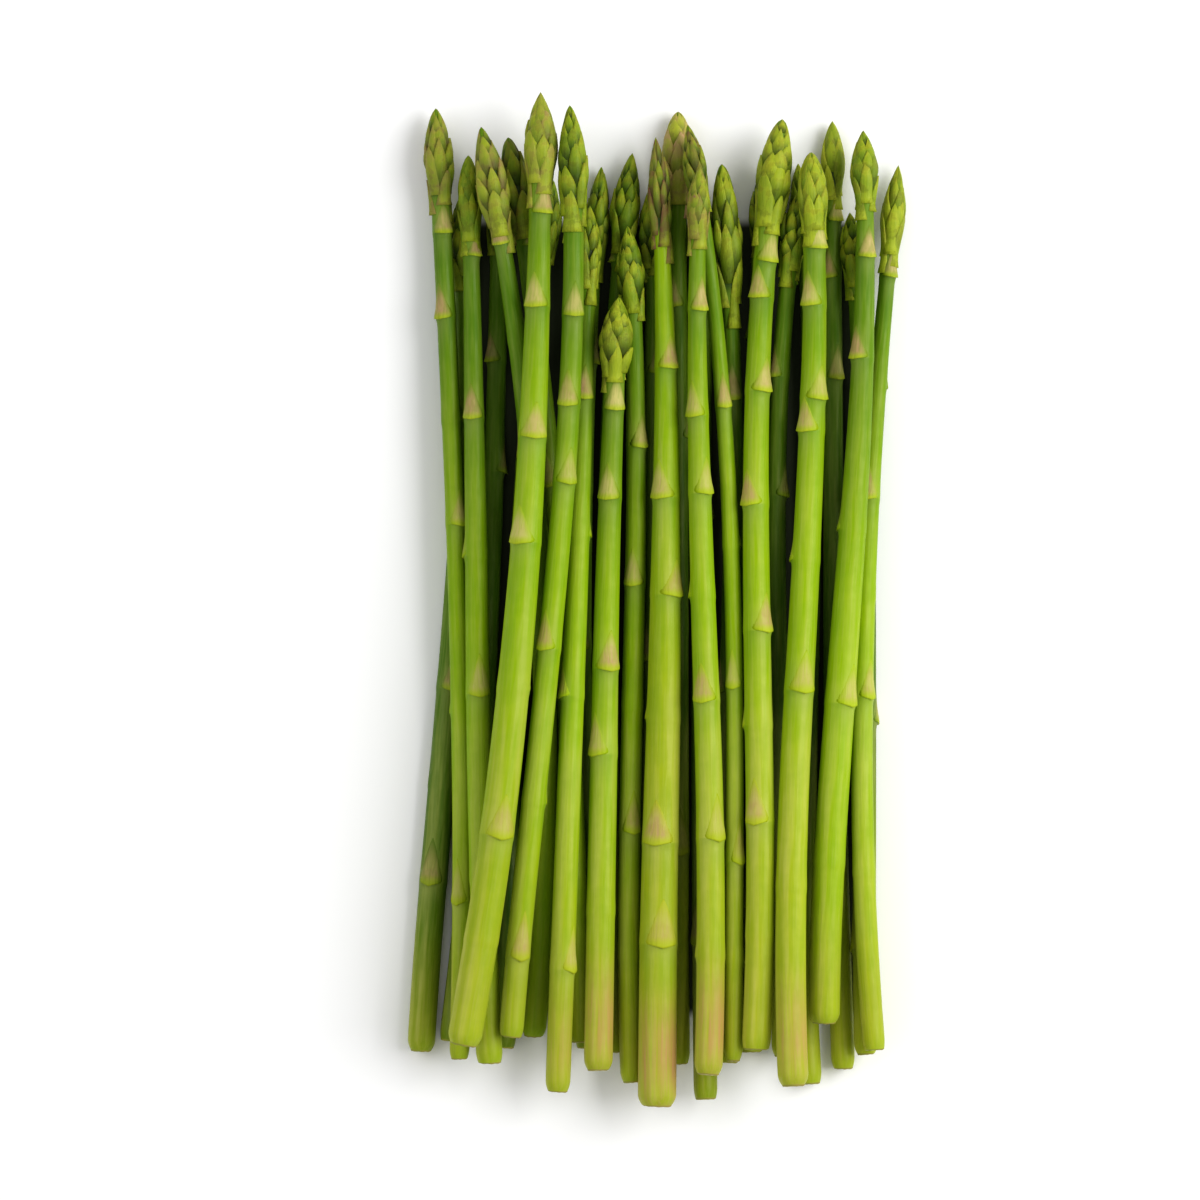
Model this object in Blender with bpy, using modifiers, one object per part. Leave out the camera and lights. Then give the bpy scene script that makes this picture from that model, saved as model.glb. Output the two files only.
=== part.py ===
"""A loose bundle of green asparagus spears that lies on a flat surface, with its tips towards +Y.

Each spear is one solid: a turned stem that swells into the core of the head, flat pointed bracts
pressed to the stem, and the pointed scales that cover the head, all fused. The spears are laid down
one by one, lowest first. Each comes down as a slightly arched line until it rests on the surface or
on the spears below it. Stems that meet the surface have a narrow flat spot there. Lengths are in metres.
"""
import math
import random
from collections import namedtuple

import bmesh
import bpy
import numpy as np
from mathutils import Euler, Vector

MM = 0.001
SEED = 7
BUNDLE = "asparagus_bundle"

# Stem and head sections
SIDES = 8
STEM_RINGS = 5
STEM_TAPER = 2.2
BUTT_ROUNDING = 0.5 * MM
BUTT_SHARE = 0.86
HEAD_CORE = 0.8
HEAD_OUTLINE = ((0.18, 0.84), (0.42, 1.00), (0.76, 0.62))

# Bracts on the stem
BRACT_LENGTH = 13 * MM
BRACT_WIDTH_SHARE = 0.78
BRACT_RISE = 0.5 * MM
BRACT_HALF_ANGLE = 65
BRACT_FIRST_GAP = 22 * MM
BRACT_GAP_GROWTH = 1.4
BRACT_LOWEST = 16 * MM
BRACT_CLEAR_OF_HEAD = 3 * MM
HIDDEN_BRACT_GAP = 44 * MM
UPPER_SIDE_SPREAD = 50
LEAST_TURN = 0.2
GAP_VARIES = (0.85, 1.15)
BRACT_LEAD = 0.2

# Scales on the head
HEAD_SCALES = 9
SCALE_LENGTHS = (0.46, 0.27)
SCALE_SPAN = (-0.08, 0.68)
SCALE_FLARE = 0.4 * MM
SCALE_LEDGE = 0.35 * MM
SCALE_HALF_WIDTH = 0.88
POINT_SHORT_OF_TIP = 1.2 * MM

# Angles round a spear, in degrees
UP, DOWN = -90, 90
GOLDEN_ANGLE = 137.5

CONE_SIDES = 3
SHOULDER_HEIGHT = math.cos(2 * math.pi / CONE_SIDES)
SHOULDER_HALF_WIDTH = math.sin(2 * math.pi / CONE_SIDES)
SINK = 0.25 * MM
WELD = 0.01 * MM
SHARP_ANGLE = 35
BEND_STEP = 0.005

# Rest
GAP = 0.32 * MM
PRESS = 0.35 * MM
STATIONS = 160
MOST_RISE = 24 * MM
RISE_STEP = 0.25 * MM
MOST_ARCH = 3 * MM
ARCH_STEP = 0.5 * MM
ARCH_COST = 0.05
SURFACE_CUTTER = 0.5
CUTTER_DEPTH = 0.02

SKIN_GREENS = ((0.30, 0.44, 0.02), (0.20, 0.34, 0.02))
SKIN_ROUGHNESS = 0.42

Spear = namedtuple("Spear", "name butt tip bow sway thick neck head head_length seen_nodes")
Rest = namedtuple("Rest", "height rise arch")


def spear(name, butt, tip, bow, sway, thick, neck, head, head_length, seen_nodes=()):
    """One spear's sizes, given in millimetres.

    butt and tip are its ends seen from above. bow is how far its middle lies to the right of the
    line between them, and sway is the size of its S-bend. thick, neck and head are diameters at
    the butt, just under the head and across the head. seen_nodes are distances from the butt to
    the bracts that face up.
    """
    sizes = [value * MM for value in (bow, sway, thick, neck, head, head_length)]
    ends = [tuple(value * MM for value in end) for end in (butt, tip)]
    return Spear(name, *ends, *sizes, tuple(node * MM for node in seen_nodes))


# The spears in the order in which they are laid down, lowest first
SPEARS = (
    spear("spear_01", (-58.4, -111.8), (-49.1, 99.0), 3.6, -1.1, 7.0, 4.2, 6.0, 20, (90, 42)),
    spear("spear_02", (-51.0, -109.3), (-39.0, 107.1), 3.3, 0.3, 6.2, 4.0, 6.0, 20),
    spear("spear_03", (-38.0, -111.1), (-25.7, 103.9), -2.8, 0.4, 6.2, 4.0, 6.0, 20),
    spear("spear_04", (-17.2, -111.1), (-13.7, 107.1), -3.3, 0.4, 6.0, 4.0, 6.0, 24),
    spear("spear_05", (-10.4, -112.1), (-6.1, 110.3), -4.0, 0.9, 6.0, 4.0, 6.6, 24),
    spear("spear_06", (-3.6, -113.0), (-1.5, 102.2), 1.7, 0.1, 6.2, 4.0, 6.0, 20),
    spear("spear_07", (5.2, -115.0), (5.2, 120.7), -0.1, -0.1, 6.0, 4.2, 8.2, 22),
    spear("spear_08", (12.0, -123.4), (12.1, 99.0), -1.0, 0.1, 6.0, 4.0, 6.0, 20),
    spear("spear_09", (23.4, -112.1), (27.2, 108.4), -1.4, 1.0, 6.0, 4.0, 6.4, 22),
    spear("spear_10", (17.3, -114.3), (15.9, 107.4), 1.9, -1.0, 6.0, 4.2, 7.2, 33),
    spear("spear_11", (37.9, -119.9), (34.9, 107.9), 1.3, -1.6, 6.0, 4.0, 6.0, 20),
    spear("spear_12", (31.2, -113.0), (35.2, 101.0), -3.9, 1.3, 6.0, 4.0, 6.0, 20),
    spear("spear_13", (46.1, -116.2), (43.4, 118.4), -1.0, -0.3, 6.0, 3.8, 6.1, 18, (210, 196, 171)),
    spear("spear_14", (51.6, -112.5), (47.6, 95.6), 1.9, -0.8, 6.0, 4.0, 6.0, 18),
    spear("spear_15", (-48.8, -113.5), (-54.7, 121.4), 2.5, 0.3, 5.0, 4.8, 7.0, 23,
          (204, 183, 132, 39)),
    spear("spear_16", (-41.2, -114.3), (-46.6, 109.6), -0.5, -0.4, 6.6, 4.0, 6.0, 21,
          (199, 159, 91)),
    spear("spear_17", (-19.1, -109.3), (-36.8, 114.0), 4.1, -0.3, 6.0, 4.2, 7.0, 24),
    spear("spear_18", (-30.6, -108.1), (-43.4, 116.5), 8.2, 0.0, 6.2, 4.2, 7.4, 26),
    spear("spear_19", (-24.5, -121.2), (-16.6, 97.3), 0.2, -0.1, 6.3, 4.2, 6.0, 20),
    spear("spear_20", (-6.3, -119.2), (-7.3, 92.1), 1.0, -1.1, 5.6, 4.6, 6.4, 21, (157, 123, 62)),
    spear("spear_21", (-0.1, -124.8), (-0.4, 114.0), 2.2, -0.8, 9.6, 3.8, 5.0, 25,
          (182, 150, 126, 65, 40)),
    spear("spear_22", (18.6, -113.5), (7.5, 117.0), 5.5, -0.9, 4.6, 3.5, 5.0, 18, (161, 92, 49)),
    spear("spear_23", (53.5, -111.1), (59.7, 107.6), -5.4, -0.4, 5.6, 3.9, 6.1, 22,
          (191, 136, 87)),
    spear("spear_24", (-47.6, -109.3), (-28.7, 124.8), 5.4, 0.2, 8.6, 5.2, 8.2, 23,
          (205, 182, 150, 124, 52)),
    spear("spear_25", (-36.0, -107.6), (-21.5, 121.4), 4.0, -1.2, 6.1, 5.0, 6.8, 27,
          (178, 156, 137, 96, 20)),
    spear("spear_26", (-14.6, -116.0), (-9.5, 74.4), -0.8, 0.2, 7.2, 5.0, 8.0, 19,
          (163, 141, 99, 78)),
    spear("spear_27", (12.4, -116.7), (10.5, 106.4), 0.0, 1.1, 7.1, 4.0, 5.4, 18,
          (203, 188, 162, 143, 92, 58)),
    spear("spear_28", (24.2, -110.6), (30.9, 118.7), -3.2, 1.8, 7.2, 5.6, 8.2, 26,
          (194, 185, 162, 134, 103, 56)),
    spear("spear_29", (33.3, -119.2), (37.8, 110.3), 0.2, -1.6, 7.8, 5.4, 7.4, 19,
          (206, 192, 169, 161, 97)),
    spear("spear_30", (41.0, -104.4), (50.8, 115.7), 1.3, -1.3, 8.0, 4.2, 6.8, 18, (189, 164, 79)),
)


def length(item):
    """The spear's length, between its ends."""
    return math.dist(item.butt, item.tip)


def arch(share):
    """A shallow arch, 0 at both ends and 1 in the middle."""
    return 4 * share * (1 - share)


def sideways(item, share):
    """How far the spear's middle line lies to the side of the line between its ends."""
    s_bend = 6 * math.sqrt(3) * share * (1 - share) * (1 - 2 * share)
    return item.bow * arch(share) + item.sway * s_bend


def stem_and_head(item):
    """Distances from the butt and the radii there, up the stem and over the head's scales."""
    neck_at = length(item) - item.head_length
    rings = [(0, BUTT_SHARE * item.thick / 2)]
    for k in range(STEM_RINGS + 1):
        share = k / STEM_RINGS
        radius = (item.thick + (item.neck - item.thick) * share ** STEM_TAPER) / 2
        rings.append((BUTT_ROUNDING + (neck_at - BUTT_ROUNDING) * share, radius))
    for share, width in HEAD_OUTLINE:
        rings.append((neck_at + share * item.head_length, width * item.head / 2))
    return rings + [(length(item), 0)]


def outline_radius(item, along):
    """The radius of the stem, or of the head over its scales, at distances from the butt."""
    places, radii = zip(*stem_and_head(item))
    return np.interp(along, places, radii)


def bract_places(item, draw):
    """The bracts' distances from the butt, and their angles round the stem in degrees."""
    highest = length(item) - item.head_length - BRACT_CLEAR_OF_HEAD
    if item.seen_nodes:
        seen = [node for node in item.seen_nodes if node < highest]
        places = [(node, UP + (-1) ** k * draw.uniform(LEAST_TURN, 1) * UPPER_SIDE_SPREAD)
                  for k, node in enumerate(seen)]
        for upper, lower in zip(seen, seen[1:] + [0]):
            if upper - lower > HIDDEN_BRACT_GAP:
                turned = DOWN + draw.uniform(-UPPER_SIDE_SPREAD, UPPER_SIDE_SPREAD)
                places.append(((upper + lower) / 2, turned))
        return places
    places, node, gap, turned = [], highest, BRACT_FIRST_GAP, draw.uniform(0, 360)
    while node > BRACT_LOWEST:
        places.append((node, turned))
        turned += GOLDEN_ANGLE
        node -= gap * draw.uniform(*GAP_VARIES)
        gap *= BRACT_GAP_GROWTH
    return places


def rise_towards(item, places, along, towards):
    """How far bracts or head scales stand out of the outline, in a neighbour's direction."""
    in_head = along > length(item) - item.head_length - BRACT_CLEAR_OF_HEAD
    rise = np.where(in_head, SCALE_FLARE, 0)
    for node, turned in places:
        past = (along - node) / BRACT_LENGTH
        aside = np.abs((towards - turned + 180) % 360 - 180)
        stands_out = (past > -BRACT_LEAD) & (past < 1) & (aside < BRACT_HALF_ANGLE)
        rise = np.where(stands_out, np.maximum(rise, BRACT_RISE * (1 - np.maximum(past, 0))), rise)
    return rise


def seen_from_above(item, share):
    """The middle line's places in X and Y at shares of the way from butt to tip."""
    (x0, y0), (x1, y1) = item.butt, item.tip
    return x0 + (x1 - x0) * share + sideways(item, share), y0 + (y1 - y0) * share


def height_over(item, other, rest, places, x, y, along):
    """The height that item's middle line needs, to lie on the other spear, along its stations."""
    share = (y - other.butt[1]) / (other.tip[1] - other.butt[1])
    other_along = share * length(other)
    apart = seen_from_above(other, share)[0] - x
    reach = outline_radius(item, along) + outline_radius(other, other_along) + GAP
    down = np.sqrt(np.maximum(reach ** 2 - apart ** 2, 0))
    towards = np.degrees(np.arctan2(down, apart))
    reach = (reach + rise_towards(item, places[item.name], along, towards)
             + rise_towards(other, places[other.name], other_along, towards + 180))
    above = np.sqrt(np.maximum(reach ** 2 - apart ** 2, 0))
    top = rest.height + rest.rise * share + rest.arch * arch(share)
    meets = (share >= 0) & (share <= 1) & (np.abs(apart) < reach)
    return np.where(meets, top + above, 0)


def settle(places):
    """Where each spear comes to rest, laid down in order as a line with a slight arch."""
    share = np.linspace(0, 1, STATIONS)
    rises, arches = np.meshgrid(np.arange(-MOST_RISE, MOST_RISE, RISE_STEP),
                                np.arange(-MOST_ARCH, MOST_ARCH + ARCH_STEP / 2, ARCH_STEP))
    rises, arches = rises.ravel(), arches.ravel()
    lines = np.outer(rises, share) + np.outer(arches, arch(share))
    rests = {}
    for item in SPEARS:
        x, y = seen_from_above(item, share)
        along = share * length(item)
        needed = outline_radius(item, along) - PRESS
        for other in SPEARS[:len(rests)]:
            over = height_over(item, other, rests[other.name], places, x, y, along)
            needed = np.maximum(needed, over)
        height = np.max(needed - lines, axis=1)
        lowest = np.argmin(height + lines.mean(axis=1) + ARCH_COST * np.abs(arches))
        rests[item.name] = Rest(height[lowest], rises[lowest], arches[lowest])
    return rests


def skin_material(name, greenness):
    """A spear's green skin, between the paler and the darker green."""
    material = bpy.data.materials.new(name)
    material.use_nodes = True
    shader = material.node_tree.nodes["Principled BSDF"]
    pale, dark = (Vector(colour) for colour in SKIN_GREENS)
    shader.inputs["Base Color"].default_value = (*pale.lerp(dark, greenness), 1)
    shader.inputs["Roughness"].default_value = SKIN_ROUGHNESS
    shader.inputs["Metallic"].default_value = 0
    return material


def turned_core(item, collection):
    """The stem and the head's core as a turned profile, standing on its butt along Z."""
    neck_at = length(item) - item.head_length
    profile = [(radius * (HEAD_CORE if along > neck_at else 1), along)
               for along, radius in reversed(stem_and_head(item))] + [(0, 0)]
    mesh = bpy.data.meshes.new(item.name)
    edges = [(k, k + 1) for k in range(len(profile) - 1)]
    mesh.from_pydata([(radius, 0, along) for radius, along in profile], edges, [])
    core = bpy.data.objects.new(item.name, mesh)
    collection.objects.link(core)
    screw = core.modifiers.new("turned", "SCREW")
    screw.axis = "Z"
    screw.steps = screw.render_steps = SIDES
    screw.use_merge_vertices = True
    screw.merge_threshold = WELD
    return core


def pointed_scale(collection, start, end, width, ridge, shoulder, tip_radius, turned):
    """A flat three-sided cone that lies along the spear from start to its point at end.

    ridge and shoulder are the distances from the spear's axis of its raised middle and of its
    side edges at the start, and tip_radius is the distance of its point.
    """
    half_depth = (ridge - shoulder) / (1 - SHOULDER_HEIGHT)
    middle = ridge - half_depth
    shape = bmesh.new()
    bmesh.ops.create_cone(shape, cap_ends=True, segments=CONE_SIDES, radius1=1, radius2=0, depth=1)
    turn_sin, turn_cos = math.sin(math.radians(turned)), math.cos(math.radians(turned))
    for vertex in shape.verts:
        across, out, up = vertex.co
        if up > 0:
            across, radial, along = 0, tip_radius, end
        else:
            across *= width / 2 / SHOULDER_HALF_WIDTH
            radial, along = middle + half_depth * out, start
        vertex.co = (radial * turn_cos + across * turn_sin, radial * turn_sin - across * turn_cos,
                     along)
    mesh = bpy.data.meshes.new("scale")
    shape.to_mesh(mesh)
    shape.free()
    collection.objects.link(bpy.data.objects.new("scale", mesh))


def sunk_shoulder(radius, width):
    """The distance from the axis at which a side edge of this width is just under the surface."""
    return math.sqrt(max(radius ** 2 - (width / 2) ** 2, 0)) - SINK


def add_bracts(item, places, collection):
    """The flat triangular bracts up the stem, each with a small ledge at its base."""
    for node, turned in places:
        radius = outline_radius(item, node)
        width = 2 * radius * BRACT_WIDTH_SHARE
        end = node + BRACT_LENGTH
        pointed_scale(collection, node, end, width, radius + BRACT_RISE,
                      sunk_shoulder(radius, width), outline_radius(item, end) - SINK, turned)


def add_head_scales(item, draw, collection):
    """The overlapping pointed scales that wind up the head, longest at its foot.

    Each starts near the core's surface and comes out to the head's outline at its point.
    """
    neck_at = length(item) - item.head_length
    turned = draw.uniform(0, 360)
    for k in range(HEAD_SCALES):
        share = k / (HEAD_SCALES - 1)
        v = SCALE_SPAN[0] + (SCALE_SPAN[1] - SCALE_SPAN[0]) * share
        scale_length = SCALE_LENGTHS[0] + (SCALE_LENGTHS[1] - SCALE_LENGTHS[0]) * share
        start = neck_at + v * item.head_length
        end = min(start + scale_length * item.head_length, length(item) - POINT_SHORT_OF_TIP)
        outer = outline_radius(item, start)
        core = outer * HEAD_CORE if v > 0 else outer
        width = 2 * core * SCALE_HALF_WIDTH
        point = outline_radius(item, end) + SCALE_FLARE * (1 - share)
        pointed_scale(collection, start, end, width, core + SCALE_LEDGE,
                      sunk_shoulder(core, width), point, turned)
        turned += GOLDEN_ANGLE


def fuse(core, collection):
    """Joins the collection's scales to the core, and removes them."""
    union = core.modifiers.new("fused", "BOOLEAN")
    union.operation = "UNION"
    union.operand_type = "COLLECTION"
    union.collection = collection
    union.solver = "EXACT"
    bpy.context.view_layer.update()
    evaluated = core.evaluated_get(bpy.context.evaluated_depsgraph_get())
    plain = core.data
    core.modifiers.clear()
    core.data = bpy.data.meshes.new_from_object(evaluated)
    core.data.name = core.name
    bpy.data.meshes.remove(plain)
    for scale in list(collection.objects):
        shape = scale.data
        bpy.data.objects.remove(scale)
        bpy.data.meshes.remove(shape)
    bpy.data.collections.remove(collection)


def lay_along(item, rest, mesh):
    """Lays the upright shape along +Y and bends it along the spear's bow, sway and arch."""
    for vertex in mesh.vertices:
        across, down, along = vertex.co
        share = along / length(item)
        middle, before, after = (
            Vector((sideways(item, t), t * length(item), rest.arch * arch(t)))
            for t in (share, share - BEND_STEP, share + BEND_STEP))
        forward = (after - before).normalized()
        side = forward.cross(Vector((0, 0, 1))).normalized()
        vertex.co = middle + side * across - side.cross(forward) * down


def make_spear(item, places, rest, draw, collection):
    """One whole spear, fused, bent and laid where it rests."""
    core = turned_core(item, collection)
    scales = bpy.data.collections.new("scales")
    bpy.context.scene.collection.children.link(scales)
    add_bracts(item, places, scales)
    add_head_scales(item, draw, scales)
    fuse(core, scales)
    lay_along(item, rest, core.data)
    across, forward = (item.tip[axis] - item.butt[axis] for axis in (0, 1))
    core.location = (*item.butt, rest.height)
    core.rotation_euler = Euler((math.atan(rest.rise / length(item)), 0,
                                 math.atan2(-across, forward)))
    core.data.shade_smooth()
    core.data.set_sharp_from_angle(angle=math.radians(SHARP_ANGLE))
    core.data.materials.append(skin_material(f"{item.name}_skin", draw.random()))
    return core


def surface_cutter(collection):
    """A block whose top is the surface that the bundle lies on."""
    bpy.ops.mesh.primitive_cube_add(size=1, location=(0, 0, -CUTTER_DEPTH / 2))
    cutter = bpy.context.active_object
    cutter.name = "surface_cutter"
    cutter.scale = (SURFACE_CUTTER, SURFACE_CUTTER, CUTTER_DEPTH)
    for owner in cutter.users_collection:
        owner.objects.unlink(cutter)
    collection.objects.link(cutter)
    cutter.hide_render = True
    cutter.display_type = "WIRE"
    return cutter


def flatten_where_it_rests(body, cutter):
    """Cuts the narrow flat spots of a spear that lies on the surface."""
    lowest = min((body.matrix_world @ vertex.co).z for vertex in body.data.vertices)
    if lowest < 0:
        flat = body.modifiers.new("flat_spot", "BOOLEAN")
        flat.operation = "DIFFERENCE"
        flat.object = cutter
        flat.solver = "EXACT"


def centre_on_origin(bodies, holder):
    """Moves the bundle so that the middle of its box, seen from above, is at the origin."""
    corners = [body.matrix_world @ vertex.co for body in bodies for vertex in body.data.vertices]
    for axis in (0, 1):
        values = [corner[axis] for corner in corners]
        holder.location[axis] = -(min(values) + max(values)) / 2


def main():
    for old in list(bpy.data.objects):
        bpy.data.objects.remove(old)
    parts = bpy.data.collections.new(BUNDLE)
    cutters = bpy.data.collections.new("cutters")
    for collection in (parts, cutters):
        bpy.context.scene.collection.children.link(collection)
    draws = {item.name: random.Random(SEED + k) for k, item in enumerate(SPEARS)}
    places = {item.name: bract_places(item, draws[item.name]) for item in SPEARS}
    rests = settle(places)
    holder = bpy.data.objects.new(f"{BUNDLE}_place", None)
    parts.objects.link(holder)
    cutter = surface_cutter(cutters)
    bodies = []
    for item in SPEARS:
        body = make_spear(item, places[item.name], rests[item.name], draws[item.name], parts)
        body.parent = holder
        bodies.append(body)
    bpy.context.view_layer.update()
    for body in bodies:
        flatten_where_it_rests(body, cutter)
    centre_on_origin(bodies, holder)


main()
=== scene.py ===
"""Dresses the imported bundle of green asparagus: one finished spear on each of its thirty solids.

Each spear is a mesh of its own, with a round stem that swells at its nodes, the bracts pressed to the
stem, the overlapping scales of the head and the cut butt. The spears lie exactly where the solids do.
They are laid out by the same sizes, the same seeded draws and the same rule of coming to rest.
"""
import functools
import math
import random
from collections import namedtuple

import bpy
import numpy as np
from bpy.props import FloatProperty, FloatVectorProperty, IntProperty, PointerProperty
from mathutils import Euler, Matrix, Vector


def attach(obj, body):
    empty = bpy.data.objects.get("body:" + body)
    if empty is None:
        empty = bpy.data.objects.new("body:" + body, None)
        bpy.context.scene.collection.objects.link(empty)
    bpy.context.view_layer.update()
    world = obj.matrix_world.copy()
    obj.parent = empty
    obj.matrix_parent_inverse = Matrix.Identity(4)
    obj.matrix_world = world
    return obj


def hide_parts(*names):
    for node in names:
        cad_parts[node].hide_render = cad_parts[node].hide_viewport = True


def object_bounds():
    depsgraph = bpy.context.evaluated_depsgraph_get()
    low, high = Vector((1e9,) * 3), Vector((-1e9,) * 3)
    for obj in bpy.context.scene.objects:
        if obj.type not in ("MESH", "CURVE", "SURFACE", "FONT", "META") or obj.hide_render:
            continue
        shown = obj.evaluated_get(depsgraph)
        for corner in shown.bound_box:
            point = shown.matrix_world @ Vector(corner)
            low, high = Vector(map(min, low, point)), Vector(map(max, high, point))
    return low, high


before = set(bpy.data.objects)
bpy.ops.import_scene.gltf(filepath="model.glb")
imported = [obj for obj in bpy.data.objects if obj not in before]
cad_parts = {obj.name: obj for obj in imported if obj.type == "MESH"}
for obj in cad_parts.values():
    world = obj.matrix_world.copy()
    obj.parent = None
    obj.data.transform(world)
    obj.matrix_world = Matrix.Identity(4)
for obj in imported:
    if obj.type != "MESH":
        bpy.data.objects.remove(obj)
cad_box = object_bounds()

bl_info = {
    "name": "Asparagus bundle",
    "version": (1, 0, 0),
    "blender": (4, 5, 0),
    "location": "3D View > Sidebar > Asparagus",
    "description": "Dresses the solids of a bundle of green asparagus and sets its stage",
    "category": "Object",
}

MM = 0.001
SEED = 7
LOOK_SEED = SEED + 99

# Stem and head sections, as in the solids
STEM_RINGS = 5
STEM_TAPER = 2.2
BUTT_ROUNDING = 0.5 * MM
BUTT_SHARE = 0.86
HEAD_CORE = 0.8
HEAD_OUTLINE = ((0.18, 0.84), (0.42, 1.00), (0.76, 0.62))

# Where the bracts are, as in the solids
BRACT_LENGTH = 13 * MM
BRACT_RISE = 0.5 * MM
BRACT_HALF_ANGLE = 65
BRACT_FIRST_GAP = 22 * MM
BRACT_GAP_GROWTH = 1.4
BRACT_LOWEST = 16 * MM
BRACT_CLEAR_OF_HEAD = 3 * MM
HIDDEN_BRACT_GAP = 44 * MM
UPPER_SIDE_SPREAD = 50
LEAST_TURN = 0.2
GAP_VARIES = (0.85, 1.15)
BRACT_LEAD = 0.2
SCALE_FLARE = 0.4 * MM
UP, DOWN = -90, 90
GOLDEN_ANGLE = 137.5

# How the spears come to rest, as in the solids
BEND_STEP = 0.005
GAP = 0.32 * MM
PRESS = 0.35 * MM
STATIONS = 160
MOST_RISE = 24 * MM
RISE_STEP = 0.25 * MM
MOST_ARCH = 3 * MM
ARCH_STEP = 0.5 * MM
ARCH_COST = 0.05
MOST_SHIFT_ERROR = 0.05 * MM
FLOOR_PRESS = 0.25 * MM

# Stem surface
LEAST_RADIUS = 0.02 * MM
NODE_REACHES = (1.1 * MM, 3.4 * MM)
NODE_HALF_ANGLE = 75
# Reach of the painted shade below each node
PAINTED_SHADE_REACH = 6 * MM
HALO_ABOVE, HALO_REACH = 1 * MM, 5 * MM
OVAL, OVAL_TURNS_IN = 0.018, 50 * MM
WANDER, WANDER_LENGTH = 0.022, 13 * MM
BUTT_INWARDS, BUTT_REACH = (0.3, 0.62), 3.4 * MM
BUTT_STATIONS = np.array((0.9, 1.4, 2.0, 2.7)) * MM
NODE_STATIONS = np.array((-2.4, -1.7, -1.1, -0.6, -0.2, 0.3, 1.0)) * MM
HEAD_STATIONS, HEAD_STATIONS_END = 24, 0.985
APEX_AT = 0.9995

# Bract surface
BRACT_ROWS, BRACT_COLUMNS = 15, 9
BRACT_HALF_WIDTHS = (58, 82)
BRACT_SUNK = 0.22 * MM
BRACT_THICKNESS = 0.16 * MM
BRACT_SPURS = (1.2 * MM, 0.25 * MM)
BRACT_STRETCH = (0.62, 0.9)
BRACT_LENGTH_VARIES = (0.92, 1.05)
BRACT_BLUNT = 0.03
BRACT_TUCK = 0.05 * MM
LEDGE_FADES = 0.75

# Head surface
FULLEST = 0.42
TIP_POINTED, TIP_BLUNTED = 0.9, 0.38
SCALE_ROWS, SCALE_COLUMNS = 9, 7
SCALE_SPAN = (-0.22, 0.84)
SCALE_CROWDING = 0.74
SCALE_LENGTHS = (0.52, 0.26)
SCALE_HALF_WIDTHS = (40, 62)
FOOTED_BELOW = 0.32
FOOTED_HALF_WIDTH = 72
SCALE_WIDEST = 0.32
SCALE_LENGTH_VARIES = (0.7, 1.2)
SCALE_WIDTH_VARIES = (0.7, 1.15)
SCALE_TURN_VARIES = 17
SCALE_PLACE_VARIES = 0.035
SCALE_SUNK = 0.5 * MM
SCALE_KEEL = 0.5 * MM
SCALE_DROOP = 0.22 * MM
SCALE_THICKNESS, THICKER_AT_FOOT = 0.25 * MM, 0.2 * MM
BUD_BULGE = 0.9 * MM
CLOSED_LONGER, CLOSED_FLATTER = 0.3, 0.75
LOOSE_EVERY, LOOSE_BELOW = 3, 0.55
LOOSE_NARROWER = 0.3
LOOSE_BULGE = 0.35 * MM
LOOSE_FLARE = 0.5 * MM

# Cut butt
CUT_RINGS = 5
CUT_EDGE = (1, 0.35, 0.05)
CUT_DEPTH = 0.35 * MM
CUT_RAGGED = 0.06 * MM

# Floor. The patch given next is the part that the spears hide, but for the gaps between them; the
# floor is painted dark there, as a painted shadow seen through the gaps
PAINTED_SHADOW_PATCH = {"X": (-51.5 * MM, 52.5 * MM), "Y": (-104 * MM, 95 * MM)}
PAINTED_SHADOW_EDGE = 3 * MM
FLOOR_BELOW = 0.02 * MM
FLOOR_UNEVEN = 0.985

STEM, BRACT, HEAD, CUT = range(4)
TRAITS = ("height", "shading", "blush", "dry", "painted_shade_below_node", "near_bract", "lengthwise", "crosswise",
          "in_head", "variety", "footed", "closed", "pale")

Spear = namedtuple("Spear", "name number butt tip bow sway thick neck head head_length seen_nodes")
Rest = namedtuple("Rest", "height rise arch")
Skin = namedtuple("Skin", "places faces material traits")


def spear(number, butt, tip, bow, sway, thick, neck, head, head_length, seen_nodes=()):
    """One spear's sizes, given in millimetres. number is its place in the order of laying down.

    butt and tip are its ends seen from above. bow is how far its middle lies to the right of the
    line between them, and sway is the size of its S-bend. thick, neck and head are diameters at
    the butt, just under the head and across the head. seen_nodes are distances from the butt to
    the bracts that face up.
    """
    sizes = [value * MM for value in (bow, sway, thick, neck, head, head_length)]
    ends = [tuple(value * MM for value in end) for end in (butt, tip)]
    return Spear(f"spear_{number:02}", number, *ends, *sizes, tuple(node * MM for node in seen_nodes))


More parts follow.
